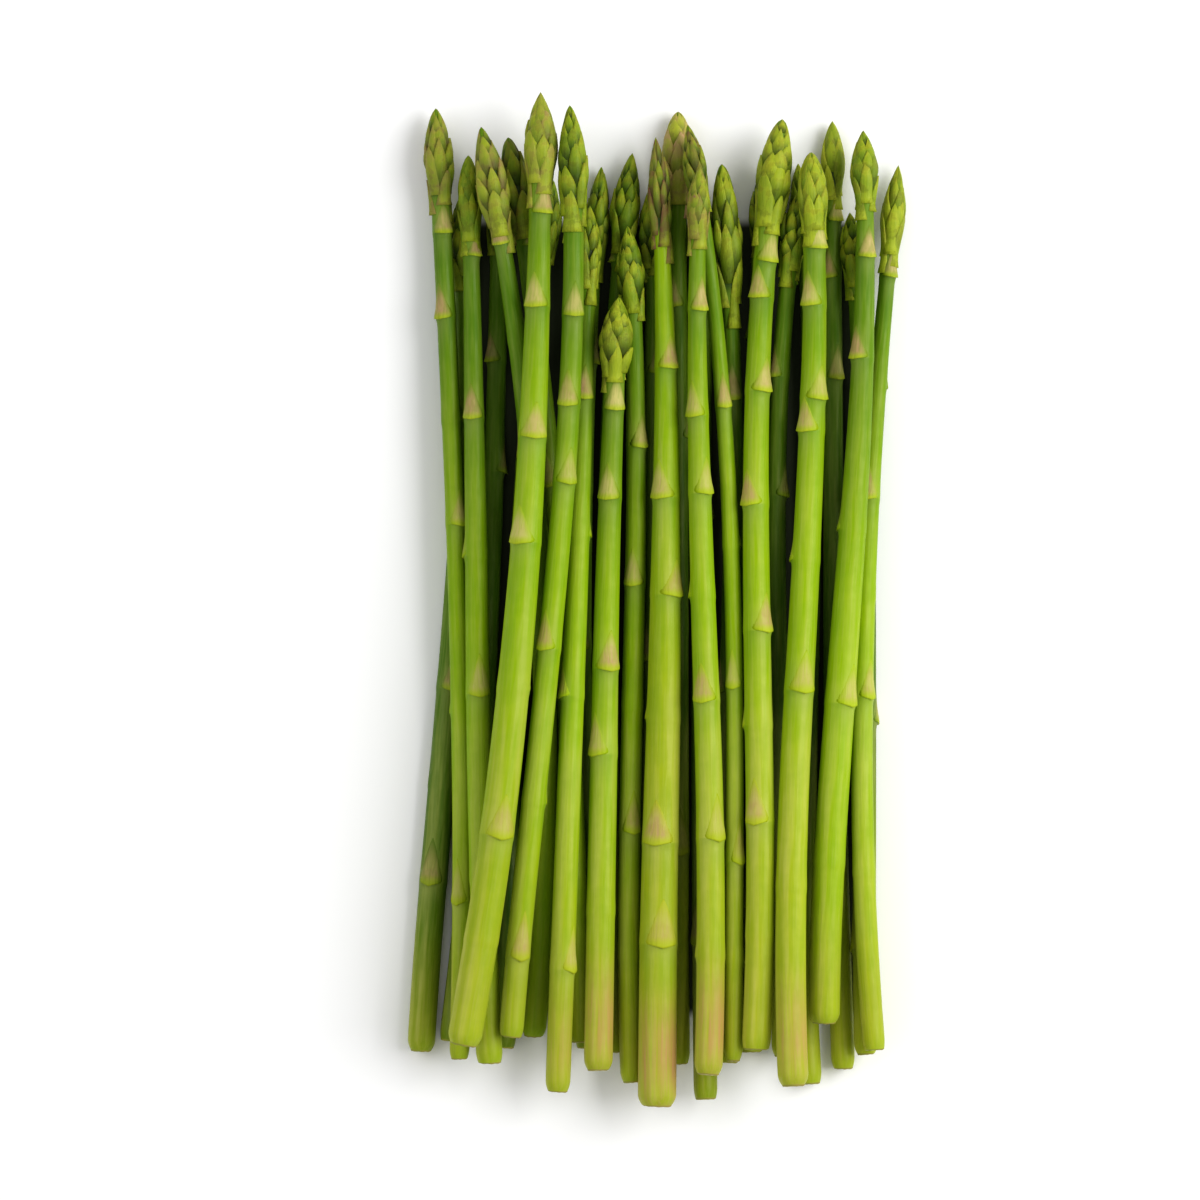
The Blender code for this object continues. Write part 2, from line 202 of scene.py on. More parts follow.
# The spears in the order in which they are laid down, lowest first
SPEARS = (
    spear(1, (-58.4, -111.8), (-49.1, 99.0), 3.6, -1.1, 7.0, 4.2, 6.0, 20, (90, 42)),
    spear(2, (-51.0, -109.3), (-39.0, 107.1), 3.3, 0.3, 6.2, 4.0, 6.0, 20),
    spear(3, (-38.0, -111.1), (-25.7, 103.9), -2.8, 0.4, 6.2, 4.0, 6.0, 20),
    spear(4, (-17.2, -111.1), (-13.7, 107.1), -3.3, 0.4, 6.0, 4.0, 6.0, 24),
    spear(5, (-10.4, -112.1), (-6.1, 110.3), -4.0, 0.9, 6.0, 4.0, 6.6, 24),
    spear(6, (-3.6, -113.0), (-1.5, 102.2), 1.7, 0.1, 6.2, 4.0, 6.0, 20),
    spear(7, (5.2, -115.0), (5.2, 120.7), -0.1, -0.1, 6.0, 4.2, 8.2, 22),
    spear(8, (12.0, -123.4), (12.1, 99.0), -1.0, 0.1, 6.0, 4.0, 6.0, 20),
    spear(9, (23.4, -112.1), (27.2, 108.4), -1.4, 1.0, 6.0, 4.0, 6.4, 22),
    spear(10, (17.3, -114.3), (15.9, 107.4), 1.9, -1.0, 6.0, 4.2, 7.2, 33),
    spear(11, (37.9, -119.9), (34.9, 107.9), 1.3, -1.6, 6.0, 4.0, 6.0, 20),
    spear(12, (31.2, -113.0), (35.2, 101.0), -3.9, 1.3, 6.0, 4.0, 6.0, 20),
    spear(13, (46.1, -116.2), (43.4, 118.4), -1.0, -0.3, 6.0, 3.8, 6.1, 18, (210, 196, 171)),
    spear(14, (51.6, -112.5), (47.6, 95.6), 1.9, -0.8, 6.0, 4.0, 6.0, 18),
    spear(15, (-48.8, -113.5), (-54.7, 121.4), 2.5, 0.3, 5.0, 4.8, 7.0, 23, (204, 183, 132, 39)),
    spear(16, (-41.2, -114.3), (-46.6, 109.6), -0.5, -0.4, 6.6, 4.0, 6.0, 21, (199, 159, 91)),
    spear(17, (-19.1, -109.3), (-36.8, 114.0), 4.1, -0.3, 6.0, 4.2, 7.0, 24),
    spear(18, (-30.6, -108.1), (-43.4, 116.5), 8.2, 0.0, 6.2, 4.2, 7.4, 26),
    spear(19, (-24.5, -121.2), (-16.6, 97.3), 0.2, -0.1, 6.3, 4.2, 6.0, 20),
    spear(20, (-6.3, -119.2), (-7.3, 92.1), 1.0, -1.1, 5.6, 4.6, 6.4, 21, (157, 123, 62)),
    spear(21, (-0.1, -124.8), (-0.4, 114.0), 2.2, -0.8, 9.6, 3.8, 5.0, 25, (182, 150, 126, 65, 40)),
    spear(22, (18.6, -113.5), (7.5, 117.0), 5.5, -0.9, 4.6, 3.5, 5.0, 18, (161, 92, 49)),
    spear(23, (53.5, -111.1), (59.7, 107.6), -5.4, -0.4, 5.6, 3.9, 6.1, 22, (191, 136, 87)),
    spear(24, (-47.6, -109.3), (-28.7, 124.8), 5.4, 0.2, 8.6, 5.2, 8.2, 23,
          (205, 182, 150, 124, 52)),
    spear(25, (-36.0, -107.6), (-21.5, 121.4), 4.0, -1.2, 6.1, 5.0, 6.8, 27,
          (178, 156, 137, 96, 20)),
    spear(26, (-14.6, -116.0), (-9.5, 74.4), -0.8, 0.2, 7.2, 5.0, 8.0, 19, (163, 141, 99, 78)),
    spear(27, (12.4, -116.7), (10.5, 106.4), 0.0, 1.1, 7.1, 4.0, 5.4, 18,
          (203, 188, 162, 143, 92, 58)),
    spear(28, (24.2, -110.6), (30.9, 118.7), -3.2, 1.8, 7.2, 5.6, 8.2, 26,
          (194, 185, 162, 134, 103, 56)),
    spear(29, (33.3, -119.2), (37.8, 110.3), 0.2, -1.6, 7.8, 5.4, 7.4, 19,
          (206, 192, 169, 161, 97)),
    spear(30, (41.0, -104.4), (50.8, 115.7), 1.3, -1.3, 8.0, 4.2, 6.8, 18, (189, 164, 79)),
)
FIRST_BRIGHT = 14
DEEP_SPEARS = SPEARS[:FIRST_BRIGHT]
BRIGHT_SPEARS = SPEARS[FIRST_BRIGHT:]

# What is usual, and what the spears of these numbers have instead. blush, closed, blunt and pale
# are how purple-brown, tight, rounded and yellow the head is. dried is how tan the butt is.
# yellowed moves the butt's yellow up the stem, or down it, by a share of the spear's length.
LOOKS = {
    "blush": (0.12, {7: 0.75, 15: 0.5, 17: 0.6, 18: 0.55, 21: 0.9, 22: 0.6, 24: 0.5, 27: 0.7}),
    "closed": (0.0, {7: 0.5, 13: 1.0, 15: 0.3, 16: 0.8, 19: 0.4, 23: 0.9, 24: 0.6, 27: 0.5,
                     29: 0.75, 30: 0.6}),
    "blunt": (0.3, {7: 0.9, 10: 1.0, 15: 0.6, 16: 0.8, 17: 0.9, 18: 0.5, 23: 0.0, 24: 0.1,
                    25: 0.6, 28: 0.9, 29: 0.9, 30: 0.1}),
    "pale": (0.1, {7: 1.0, 10: 0.55, 13: 0.9, 15: 0.5, 18: 0.6, 19: 0.45, 23: 0.7, 24: 0.6,
                   25: 0.3, 26: 0.75, 27: 0.4, 28: 0.7, 29: 0.55, 30: 0.25}),
    "dried": (0.1, {19: 0.35, 21: 0.9, 26: 0.7, 27: 0.8, 29: 0.6}),
    "yellowed": (0, {1: -0.2, 2: -0.25, 3: -0.25, 4: -0.2, 8: -0.15, 15: -0.06, 16: -0.08,
                     17: -0.1, 18: -0.25, 21: 0.3, 24: 0.06, 27: 0.08, 28: 0.05, 29: 0.12,
                     30: -0.1}),
}
YELLOW_VARIES = 0.04
DRIED_LENGTH = 34 * MM
# Painted shade: the spears on the left are painted darker than those on the right, apart from a few
# bright ones
MIDDLE_SHADING, SHADING_ACROSS, SHADING_VARIES = 0.45, 6.0, 0.2
NEVER_SHADED = (1, 7, 13)


def colour_setting(name, description, default):
    """A colour that can be changed in the panel."""
    return FloatVectorProperty(name=name, description=description, subtype="COLOR",
                               default=default, min=0, max=1)


def length_setting(name, description, default):
    """A length that can be changed in the panel."""
    return FloatProperty(name=name, description=description, default=default, min=0,
                         precision=5, unit="LENGTH")


class AsparagusSizes(bpy.types.PropertyGroup):
    """How finely the spears are shaped, and the size of their small relief."""
    stem_sides: IntProperty(
        name="Stem sides", description="Faces round each stem", default=36, min=12, max=64)
    stem_stations: IntProperty(
        name="Stem stations", description="Rings up each stem between its nodes", default=90,
        min=30, max=200)
    node_swelling: length_setting(
        "Node swelling", "How far a stem swells where a bract grows", 0.00042)
    bract_ledge: length_setting(
        "Bract ledge", "How far the foot of a bract stands out of the stem", 0.0006)
    head_scales: IntProperty(
        name="Head scales", description="Pointed scales on each head", default=28, min=9, max=60)
    scale_flare: length_setting(
        "Scale flare", "How far the points of the lowest head scales stand out", 0.0007)


class AsparagusColours(bpy.types.PropertyGroup):
    """The colours of the skin, the bracts, the heads and the cut butts."""
    bright_green: colour_setting(
        "Bright stem", "Skin of the upper spears, halfway up", (0.315, 0.45, 0.001))
    # Painted shade: the lower spears' skin is a darker, shaded copy of the upper spears' green
    deep_green: colour_setting(
        "Deep stem", "Skin of the lower spears, halfway up", (0.085, 0.165, 0.008))
    butt_green: colour_setting(
        "Butt", "Paler and yellower skin near the butt", (0.41, 0.455, 0.016))
    neck_green: colour_setting("Neck", "Darker skin under the head", (0.135, 0.245, 0.004))
    dried_tan: colour_setting("Dried butt", "Skin that has dried near the cut", (0.46, 0.27, 0.10))
    bract_pale: colour_setting("Pale bract", "Creamy middle of a bract", (0.56, 0.53, 0.17))
    bract_foot: colour_setting(
        "Foot of a bract", "Yellow-green ledge of a bract", (0.44, 0.49, 0.03))
    bract_tan: colour_setting("Tan bract", "Bract where it has a pink-tan tint", (0.49, 0.32, 0.16))
    head_green: colour_setting("Head", "Scales of the head", (0.16, 0.27, 0.012))
    # The yellow of pale heads, and also the colour of the painted highlight on the head's scales
    head_yellow_and_highlight: colour_setting(
        "Head highlights", "Yellow-green parts of the head's scales", (0.45, 0.485, 0.03))
    head_purple: colour_setting(
        "Head blush", "Purple-brown tint on the head's scales", (0.17, 0.075, 0.045))
    flesh: colour_setting("Cut flesh", "Cut end of a stem", (0.60, 0.62, 0.30))


class AsparagusStage(bpy.types.PropertyGroup):
    """The floor, the lights, the white surroundings and the camera."""
    floor_colour: colour_setting("Floor", "Plain pale floor", (0.93, 0.93, 0.93))
    # Painted shadow: the dark colour painted on the floor under the bundle
    painted_shadow_colour: colour_setting(
        "Floor under the bundle", "Floor that shows only through the gaps", (0.05, 0.06, 0.035))
    floor_size: length_setting("Floor size", "Side of the floor", 3.0)
    key_power: FloatProperty(
        name="Key power", description="Power of the soft light on the right", default=12.3,
        unit="POWER")
    key_place: FloatVectorProperty(
        name="Key place", description="Where the light on the right hangs",
        default=(0.88, 0.2, 0.82), subtype="TRANSLATION", unit="LENGTH")
    fill_power: FloatProperty(
        name="Fill power", description="Power of the weaker light on the left", default=2.8,
        unit="POWER")
    fill_place: FloatVectorProperty(
        name="Fill place", description="Where the light on the left hangs",
        default=(-0.9, 0.1, 0.75), subtype="TRANSLATION", unit="LENGTH")
    light_size: length_setting("Light size", "Side of both soft lights", 0.9)
    sky_strength: FloatProperty(
        name="Sky strength", description="Brightness of the white surroundings", default=0.48)
    lens: FloatProperty(name="Lens", description="Focal length in millimetres", default=240.0)
    frame_width: length_setting(
        "Frame width", "Width that the picture shows at the bundle's middle", 0.2952)
    frame_centre: FloatProperty(
        name="Frame centre", description="Place across of the picture's middle",
        default=-0.01375, unit="LENGTH", precision=5)


# Where the spears lie

def look_of(item, name):
    """The spear's own value of a look, or the usual one."""
    usual, others = LOOKS[name]
    return others.get(item.number, usual)


def length(item):
    """The spear's length, between its ends."""
    return math.dist(item.butt, item.tip)


def neck_at(item):
    """The distance from the butt to the neck, where the head begins."""
    return length(item) - item.head_length


def arch(share):
    """A shallow arch, 0 at both ends and 1 in the middle."""
    return 4 * share * (1 - share)


def sideways(item, share):
    """How far the spear's middle line lies to the side of the line between its ends."""
    s_bend = 6 * math.sqrt(3) * share * (1 - share) * (1 - 2 * share)
    return item.bow * arch(share) + item.sway * s_bend


def stem_and_head(item):
    """Distances from the butt and the solid's radii there, up the stem and over the head."""
    neck = neck_at(item)
    rings = [(0, BUTT_SHARE * item.thick / 2)]
    for k in range(STEM_RINGS + 1):
        share = k / STEM_RINGS
        radius = graded((item.thick, item.neck), share ** STEM_TAPER) / 2
        rings.append((BUTT_ROUNDING + (neck - BUTT_ROUNDING) * share, radius))
    for share, width in HEAD_OUTLINE:
        rings.append((neck + share * item.head_length, width * item.head / 2))
    return rings + [(length(item), 0)]


def outline_radius(item, along):
    """The radius of the stem, or of the head over its scales, at distances from the butt."""
    places, radii = zip(*stem_and_head(item))
    return np.interp(along, places, radii)


def bract_places(item, draw):
    """The bracts' distances from the butt, and their angles round the stem in degrees."""
    highest = neck_at(item) - BRACT_CLEAR_OF_HEAD
    if item.seen_nodes:
        seen = [node for node in item.seen_nodes if node < highest]
        places = [(node, UP + (-1) ** k * draw.uniform(LEAST_TURN, 1) * UPPER_SIDE_SPREAD)
                  for k, node in enumerate(seen)]
        for upper, lower in zip(seen, seen[1:] + [0]):
            if upper - lower > HIDDEN_BRACT_GAP:
                turned = DOWN + draw.uniform(-UPPER_SIDE_SPREAD, UPPER_SIDE_SPREAD)
                places.append(((upper + lower) / 2, turned))
        return places
    places, node, gap, turned = [], highest, BRACT_FIRST_GAP, draw.uniform(0, 360)
    while node > BRACT_LOWEST:
        places.append((node, turned))
        turned += GOLDEN_ANGLE
        node -= gap * draw.uniform(*GAP_VARIES)
        gap *= BRACT_GAP_GROWTH
    return places


def rise_towards(item, places, along, towards):
    """How far bracts or head scales stand out of the outline, in a neighbour's direction."""
    in_head = along > neck_at(item) - BRACT_CLEAR_OF_HEAD
    rise = np.where(in_head, SCALE_FLARE, 0)
    for node, turned in places:
        past = (along - node) / BRACT_LENGTH
        aside = np.abs((towards - turned + 180) % 360 - 180)
        stands_out = (past > -BRACT_LEAD) & (past < 1) & (aside < BRACT_HALF_ANGLE)
        rise = np.where(stands_out, np.maximum(rise, BRACT_RISE * (1 - np.maximum(past, 0))), rise)
    return rise


def seen_from_above(item, share):
    """The middle line's places in X and Y at shares of the way from butt to tip."""
    (x0, y0), (x1, y1) = item.butt, item.tip
    return x0 + (x1 - x0) * share + sideways(item, share), y0 + (y1 - y0) * share


def height_over(item, other, rest, places, x, y, along):
    """The height that item's middle line needs, to lie on the other spear, along its stations."""
    share = (y - other.butt[1]) / (other.tip[1] - other.butt[1])
    other_along = share * length(other)
    apart = seen_from_above(other, share)[0] - x
    reach = outline_radius(item, along) + outline_radius(other, other_along) + GAP
    down = np.sqrt(np.maximum(reach ** 2 - apart ** 2, 0))
    towards = np.degrees(np.arctan2(down, apart))
    reach = (reach + rise_towards(item, places[item.name], along, towards)
             + rise_towards(other, places[other.name], other_along, towards + 180))
    above = np.sqrt(np.maximum(reach ** 2 - apart ** 2, 0))
    top = rest.height + rest.rise * share + rest.arch * arch(share)
    meets = (share >= 0) & (share <= 1) & (np.abs(apart) < reach)
    return np.where(meets, top + above, 0)


def settle(places):
    """Where each spear comes to rest, laid down in order as a line with a slight arch."""
    share = np.linspace(0, 1, STATIONS)
    rises, arches = np.meshgrid(np.arange(-MOST_RISE, MOST_RISE, RISE_STEP),
                                np.arange(-MOST_ARCH, MOST_ARCH + ARCH_STEP / 2, ARCH_STEP))
    rises, arches = rises.ravel(), arches.ravel()
    lines = np.outer(rises, share) + np.outer(arches, arch(share))
    rests = {}
    for item in SPEARS:
        x, y = seen_from_above(item, share)
        along = share * length(item)
        needed = outline_radius(item, along) - PRESS
        for other in SPEARS[:len(rests)]:
            over = height_over(item, other, rests[other.name], places, x, y, along)
            needed = np.maximum(needed, over)
        height = np.max(needed - lines, axis=1)
        lowest = np.argmin(height + lines.mean(axis=1) + ARCH_COST * np.abs(arches))
        rests[item.name] = Rest(height[lowest], rises[lowest], arches[lowest])
    return rests


def laid(item, rest, places):
    """Bends upright places (across, down, along) along the spear and lays them where it rests."""
    across, down, along = places.T

    def middle(share):
        return np.stack((sideways(item, share), share * length(item), rest.arch * arch(share)), -1)

    share = along / length(item)
    forward = middle(share + BEND_STEP) - middle(share - BEND_STEP)
    forward /= np.linalg.norm(forward, axis=1, keepdims=True)
    side = np.cross(forward, (0, 0, 1))
    side /= np.linalg.norm(side, axis=1, keepdims=True)
    bent = middle(share) + side * across[:, None] - np.cross(side, forward) * down[:, None]
    right, ahead = (item.tip[axis] - item.butt[axis] for axis in (0, 1))
    turn = Euler((math.atan(rest.rise / length(item)), 0, math.atan2(-right, ahead))).to_matrix()
    return bent @ np.array(turn).T + (*item.butt, rest.height)


@functools.cache
def bundle_layout():
    """The bracts' places and the rests of all spears, and the pile's shift.

    The shift is read from the solids: each one's farthest vertex is the apex of its head.
    """
    places = {item.name: bract_places(item, random.Random(SEED + k))
              for k, item in enumerate(SPEARS)}
    rests = settle(places)
    shifts = []
    for item in SPEARS:
        apex = max((vertex.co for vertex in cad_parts[item.name].data.vertices),
                   key=lambda place: place.y)
        tip = laid(item, rests[item.name], np.array(((0, 0, length(item)),)))[0]
        shifts.append(np.array(apex) - tip)
    shift = np.mean(shifts, axis=0)
    if np.abs(np.array(shifts) - shift).max() > MOST_SHIFT_ERROR:
        raise RuntimeError("the spears' places don't agree with the solids")
    return places, rests, shift


# Shapes

def smooth_step(low, high, value):
    """0 below low, 1 above high, and a smooth change between them."""
    share = np.clip((value - low) / (high - low), 0, 1)
    return share * share * (3 - 2 * share)


def graded(ends, share):
    """The value at a share of the way between two."""
    return ends[0] + (ends[1] - ends[0]) * share


def stem_radius(item, along):
    """The smooth radius of the stem at distances from the butt."""
    neck = neck_at(item)
    share = np.clip((along - BUTT_ROUNDING) / (neck - BUTT_ROUNDING), 0, 1)
    return graded((item.thick, item.neck), share ** STEM_TAPER) / 2


def head_share(item, along):
    """0 at the neck and 1 at the tip."""
    return (along - length(item) + item.head_length) / item.head_length


def head_radius(item, along):
    """The smooth radius over the head's scales, and of the stem below the head."""
    share = head_share(item, along)
    neck = item.neck / item.head
    swelling = neck + (1 - neck) * np.sin(math.pi / 2 * np.clip(share / FULLEST, 0, 1))
    pointed = TIP_POINTED - TIP_BLUNTED * look_of(item, "blunt")
    closing = (1 - np.clip((share - FULLEST) / (1 - FULLEST), 0, 1) ** 1.6) ** pointed
    over_scales = item.head / 2 * np.where(share < FULLEST, swelling, closing)
    return np.where(share > 0, over_scales, stem_radius(item, along))


def core_radius(item, along):
    """The radius of the stem and of the head's core under its scales."""
    share = head_share(item, along)
    return head_radius(item, along) * (1 - (1 - HEAD_CORE) * smooth_step(0, 0.2, share))


def grid_faces(rows, columns, closed=False, first=0):
    """Four-sided faces over rows of points that face outwards, as index lists."""
    faces = []
    for row in range(rows - 1):
        for column in range(columns if closed else columns - 1):
            beside = (column + 1) % columns
            low, high = first + row * columns, first + (row + 1) * columns
            faces.append((low + column, low + beside, high + beside, high + column))
    return faces


def on_stem(radius, degrees, along):
    """Places (across, down, along) from polar ones."""
    angle = np.radians(degrees)
    return np.stack((radius * np.cos(angle), radius * np.sin(angle), along), -1)


def angle_between(degrees, other):
    """The angle between two directions round a stem, from 0 to 180 degrees."""
    return np.abs((degrees - other + 180) % 360 - 180)


def stem_stations(item, places, sizes):
    """Distances from the butt of the rings of points, closer together at nodes and in the head."""
    neck = neck_at(item)
    even = np.linspace(BUTT_ROUNDING, neck, sizes.stem_stations)
    in_head = neck + item.head_length * np.linspace(0, HEAD_STATIONS_END, HEAD_STATIONS)[1:]
    at_nodes = [node + NODE_STATIONS for node, _ in places]
    stations = np.unique(np.concatenate((even, in_head, BUTT_STATIONS, *at_nodes)))
    return stations[(stations >= BUTT_ROUNDING) & (stations < length(item))]


def stem_surface(item, places, sizes, draw):
    """A function of distance and angle that gives the radius of the stem or the head's core.

    The stem is slightly oval, swells at its nodes and is rounded in at the butt.
    """
    turn, wave = (draw.uniform(0, 2 * math.pi) for _ in range(2))
    inward = graded(BUTT_INWARDS, (1 + math.sin(turn + wave)) / 2)

    def radius_at(along, degrees):
        angle = np.radians(degrees)
        in_stem = 1 - smooth_step(-0.1, 0.1, head_share(item, along))
        oval = OVAL * (np.cos(2 * angle + turn + along / OVAL_TURNS_IN) - 1) / 2
        wander = WANDER * (np.sin(along / WANDER_LENGTH + wave + angle) - 1) / 2
        radius = core_radius(item, along) * (1 + in_stem * (oval + wander))
        for node, turned in places:
            aside = angle_between(degrees, turned)
            facing = 0.3 + 0.7 * (1 - smooth_step(20, NODE_HALF_ANGLE, aside))
            near = (along - node) / np.where(along < node, *NODE_REACHES)
            radius = radius + sizes.node_swelling * facing * np.exp(-near ** 2)
        return radius * np.sqrt(1 - inward * np.clip(1 - along / BUTT_REACH, 0, 1) ** 2)

    return radius_at


def round_stem(item, places, surface, sizes, look):
    """The stem's skin and the head's core, with the marks round each bract: a paler halo above it and
    painted shade below it.
    """
    stations = stem_stations(item, places, sizes)
    degrees = np.linspace(0, 360, sizes.stem_sides, endpoint=False)
    along, round_it = np.meshgrid(stations, degrees, indexing="ij")
    radius = surface(along, round_it)
    painted_shade_below_node = np.zeros_like(along)
    near_bract = np.zeros_like(along)
    for node, turned in places:
        aside = angle_between(round_it, turned)
        # Painted shade below each bract's ledge, stronger higher up the stem
        under = np.exp(-np.abs(along - node) / PAINTED_SHADE_REACH) * (along < node)
        under = under * (0.25 + 0.75 * node / neck_at(item))
        painted_shade_below_node = np.maximum(painted_shade_below_node, under * (1 - smooth_step(55, 110, aside)))
        halo = np.exp(-((along - node - HALO_ABOVE) / HALO_REACH) ** 2)
        near_bract = np.maximum(near_bract, halo * (1 - smooth_step(20, 85, aside)))
    rows, columns = along.shape
    skin = on_stem(radius, round_it, along).reshape(-1, 3)
    apex = np.array(((0, 0, length(item) * APEX_AT),))
    faces = grid_faces(rows, columns, closed=True)
    last = (rows - 1) * columns
    faces += [(last + k, last + (k + 1) % columns, rows * columns) for k in range(columns)]
    share = head_share(item, along)
    # Where the head's core is painted dark, as shade between the scales
    in_head = smooth_step(0, 0.12, share) * (1 - smooth_step(0.75, 0.9, share))
    traits = dict(look, painted_shade_below_node=np.append(painted_shade_below_node.ravel(), 0),
                  near_bract=np.append(near_bract.ravel(), 0),
                  in_head=np.append(in_head.ravel(), 0))
    return Skin(np.concatenate((skin, apex)), faces, STEM, traits)


def cut_butt(surface, sizes, look, draw):
    """The cut end, from the first ring of the stem inwards, slightly hollow and ragged."""
    degrees = np.linspace(0, 360, sizes.stem_sides, endpoint=False)
    lean, leaning = draw.uniform(0.3, 1.0), draw.uniform(0, 360)
    shares = np.array((1, 0.97, BUTT_SHARE, *np.linspace(0.7, 0.12, CUT_RINGS - 2)))
    rows = []
    for k, share in enumerate(shares):
        tilt = lean * (1 + np.cos(np.radians(degrees - leaning)) * share) / 2
        along = BUTT_ROUNDING * CUT_EDGE[k] if k < len(CUT_EDGE) else LEAST_RADIUS
        hollow = CUT_DEPTH * tilt * (k > 0)
        ragged = CUT_RAGGED * np.sin(degrees / 360 * 2 * math.pi * (5 + k) + k) * (k > 1)
        along = np.maximum(along + hollow + ragged, 0)
        radius = surface(np.full_like(degrees, BUTT_ROUNDING), degrees) * share
        rows.append(on_stem(radius, degrees, along))
    rows.reverse()
    columns = len(degrees)
    centre = np.array(((0, 0, CUT_DEPTH * lean / 2),))
    places = np.concatenate((*rows, centre))
    faces = grid_faces(len(rows), columns, closed=True)
    faces += [(len(rows) * columns, (k + 1) % columns, k) for k in range(columns)]
    crosswise = np.append(np.repeat(shares[::-1], columns), 0)
    return Skin(places, faces, CUT, dict(look, crosswise=crosswise))


def closed_shell(outer, inner, material, traits):
    """A thin closed piece between an outer and an inner grid of points."""
    rows, columns = outer.shape[:2]
    count = rows * columns
    faces = grid_faces(rows, columns)
    faces += [face[::-1] for face in grid_faces(rows, columns, first=count)]
    border = list(range(columns))
    border += [row * columns + columns - 1 for row in range(1, rows)]
    border += [(rows - 1) * columns + k for k in range(columns - 2, -1, -1)]
    border += [row * columns for row in range(rows - 2, 0, -1)]
    for here, after in zip(border, border[1:] + border[:1]):
        faces.append((after, here, count + here, count + after))
    places = np.concatenate((outer.reshape(-1, 3), inner.reshape(-1, 3)))
    doubled = {name: np.tile(np.ravel(values), 2) if np.ndim(values) else values
               for name, values in traits.items()}
    return Skin(places, faces, material, doubled)


def bract(item, node, turned, surface, sizes, look, draw):
    """One flat pointed bract pressed to the stem, with a spur and a small ledge at its foot."""
    neck = neck_at(item)
    lowness = 1 - node / neck
    reach = BRACT_LENGTH * graded(BRACT_STRETCH, lowness)
    reach = min(reach * draw.uniform(*BRACT_LENGTH_VARIES), neck + 2 * MM - node)
    share, cross = np.meshgrid(np.linspace(0, 1, BRACT_ROWS) ** 1.25,
                               np.linspace(-1, 1, BRACT_COLUMNS), indexing="ij")
    rounding = np.sqrt(1 - 0.4 * np.clip(1 - share / 0.1, 0, 1) ** 2)
    narrowing = (1 - np.clip((share - 0.06) / 0.94, 0, 1)) ** 0.88
    widest, spur_length = (
        low * lowness + high * (1 - lowness) for low, high in (BRACT_HALF_WIDTHS, BRACT_SPURS))
    half_width = widest * (BRACT_BLUNT + (1 - BRACT_BLUNT) * rounding * narrowing)
    degrees = turned + half_width * cross
    spur = spur_length * (1 - np.abs(cross)) ** 1.3 * (1 - smooth_step(0, 0.15, share))
    along = node + reach * share - spur
    skin = surface(along, degrees)
    edge = 1 - (0.6 + 0.4 * lowness) * cross ** 2
    ledge = sizes.bract_ledge * (1 - LEDGE_FADES * lowness) * np.exp(-share / 0.16) * edge
    pad = BRACT_THICKNESS * (1 - share ** 3) * (1 - cross ** 2) - BRACT_TUCK * cross ** 4
    outer = on_stem(skin + ledge + pad, degrees, along)
    inner = on_stem(skin - BRACT_SUNK, degrees, along)
    blush = draw.uniform(0.2, 1.0) * (0.85 + 0.15 * node / neck)
    paleness = (1 - lowness) ** 0.7 * draw.uniform(0.75, 1) + 0.75 * lowness * draw.uniform(0.2, 1)
    traits = dict(look, blush=blush, lengthwise=share, crosswise=cross, variety=paleness)
    return closed_shell(outer, inner, BRACT, traits)


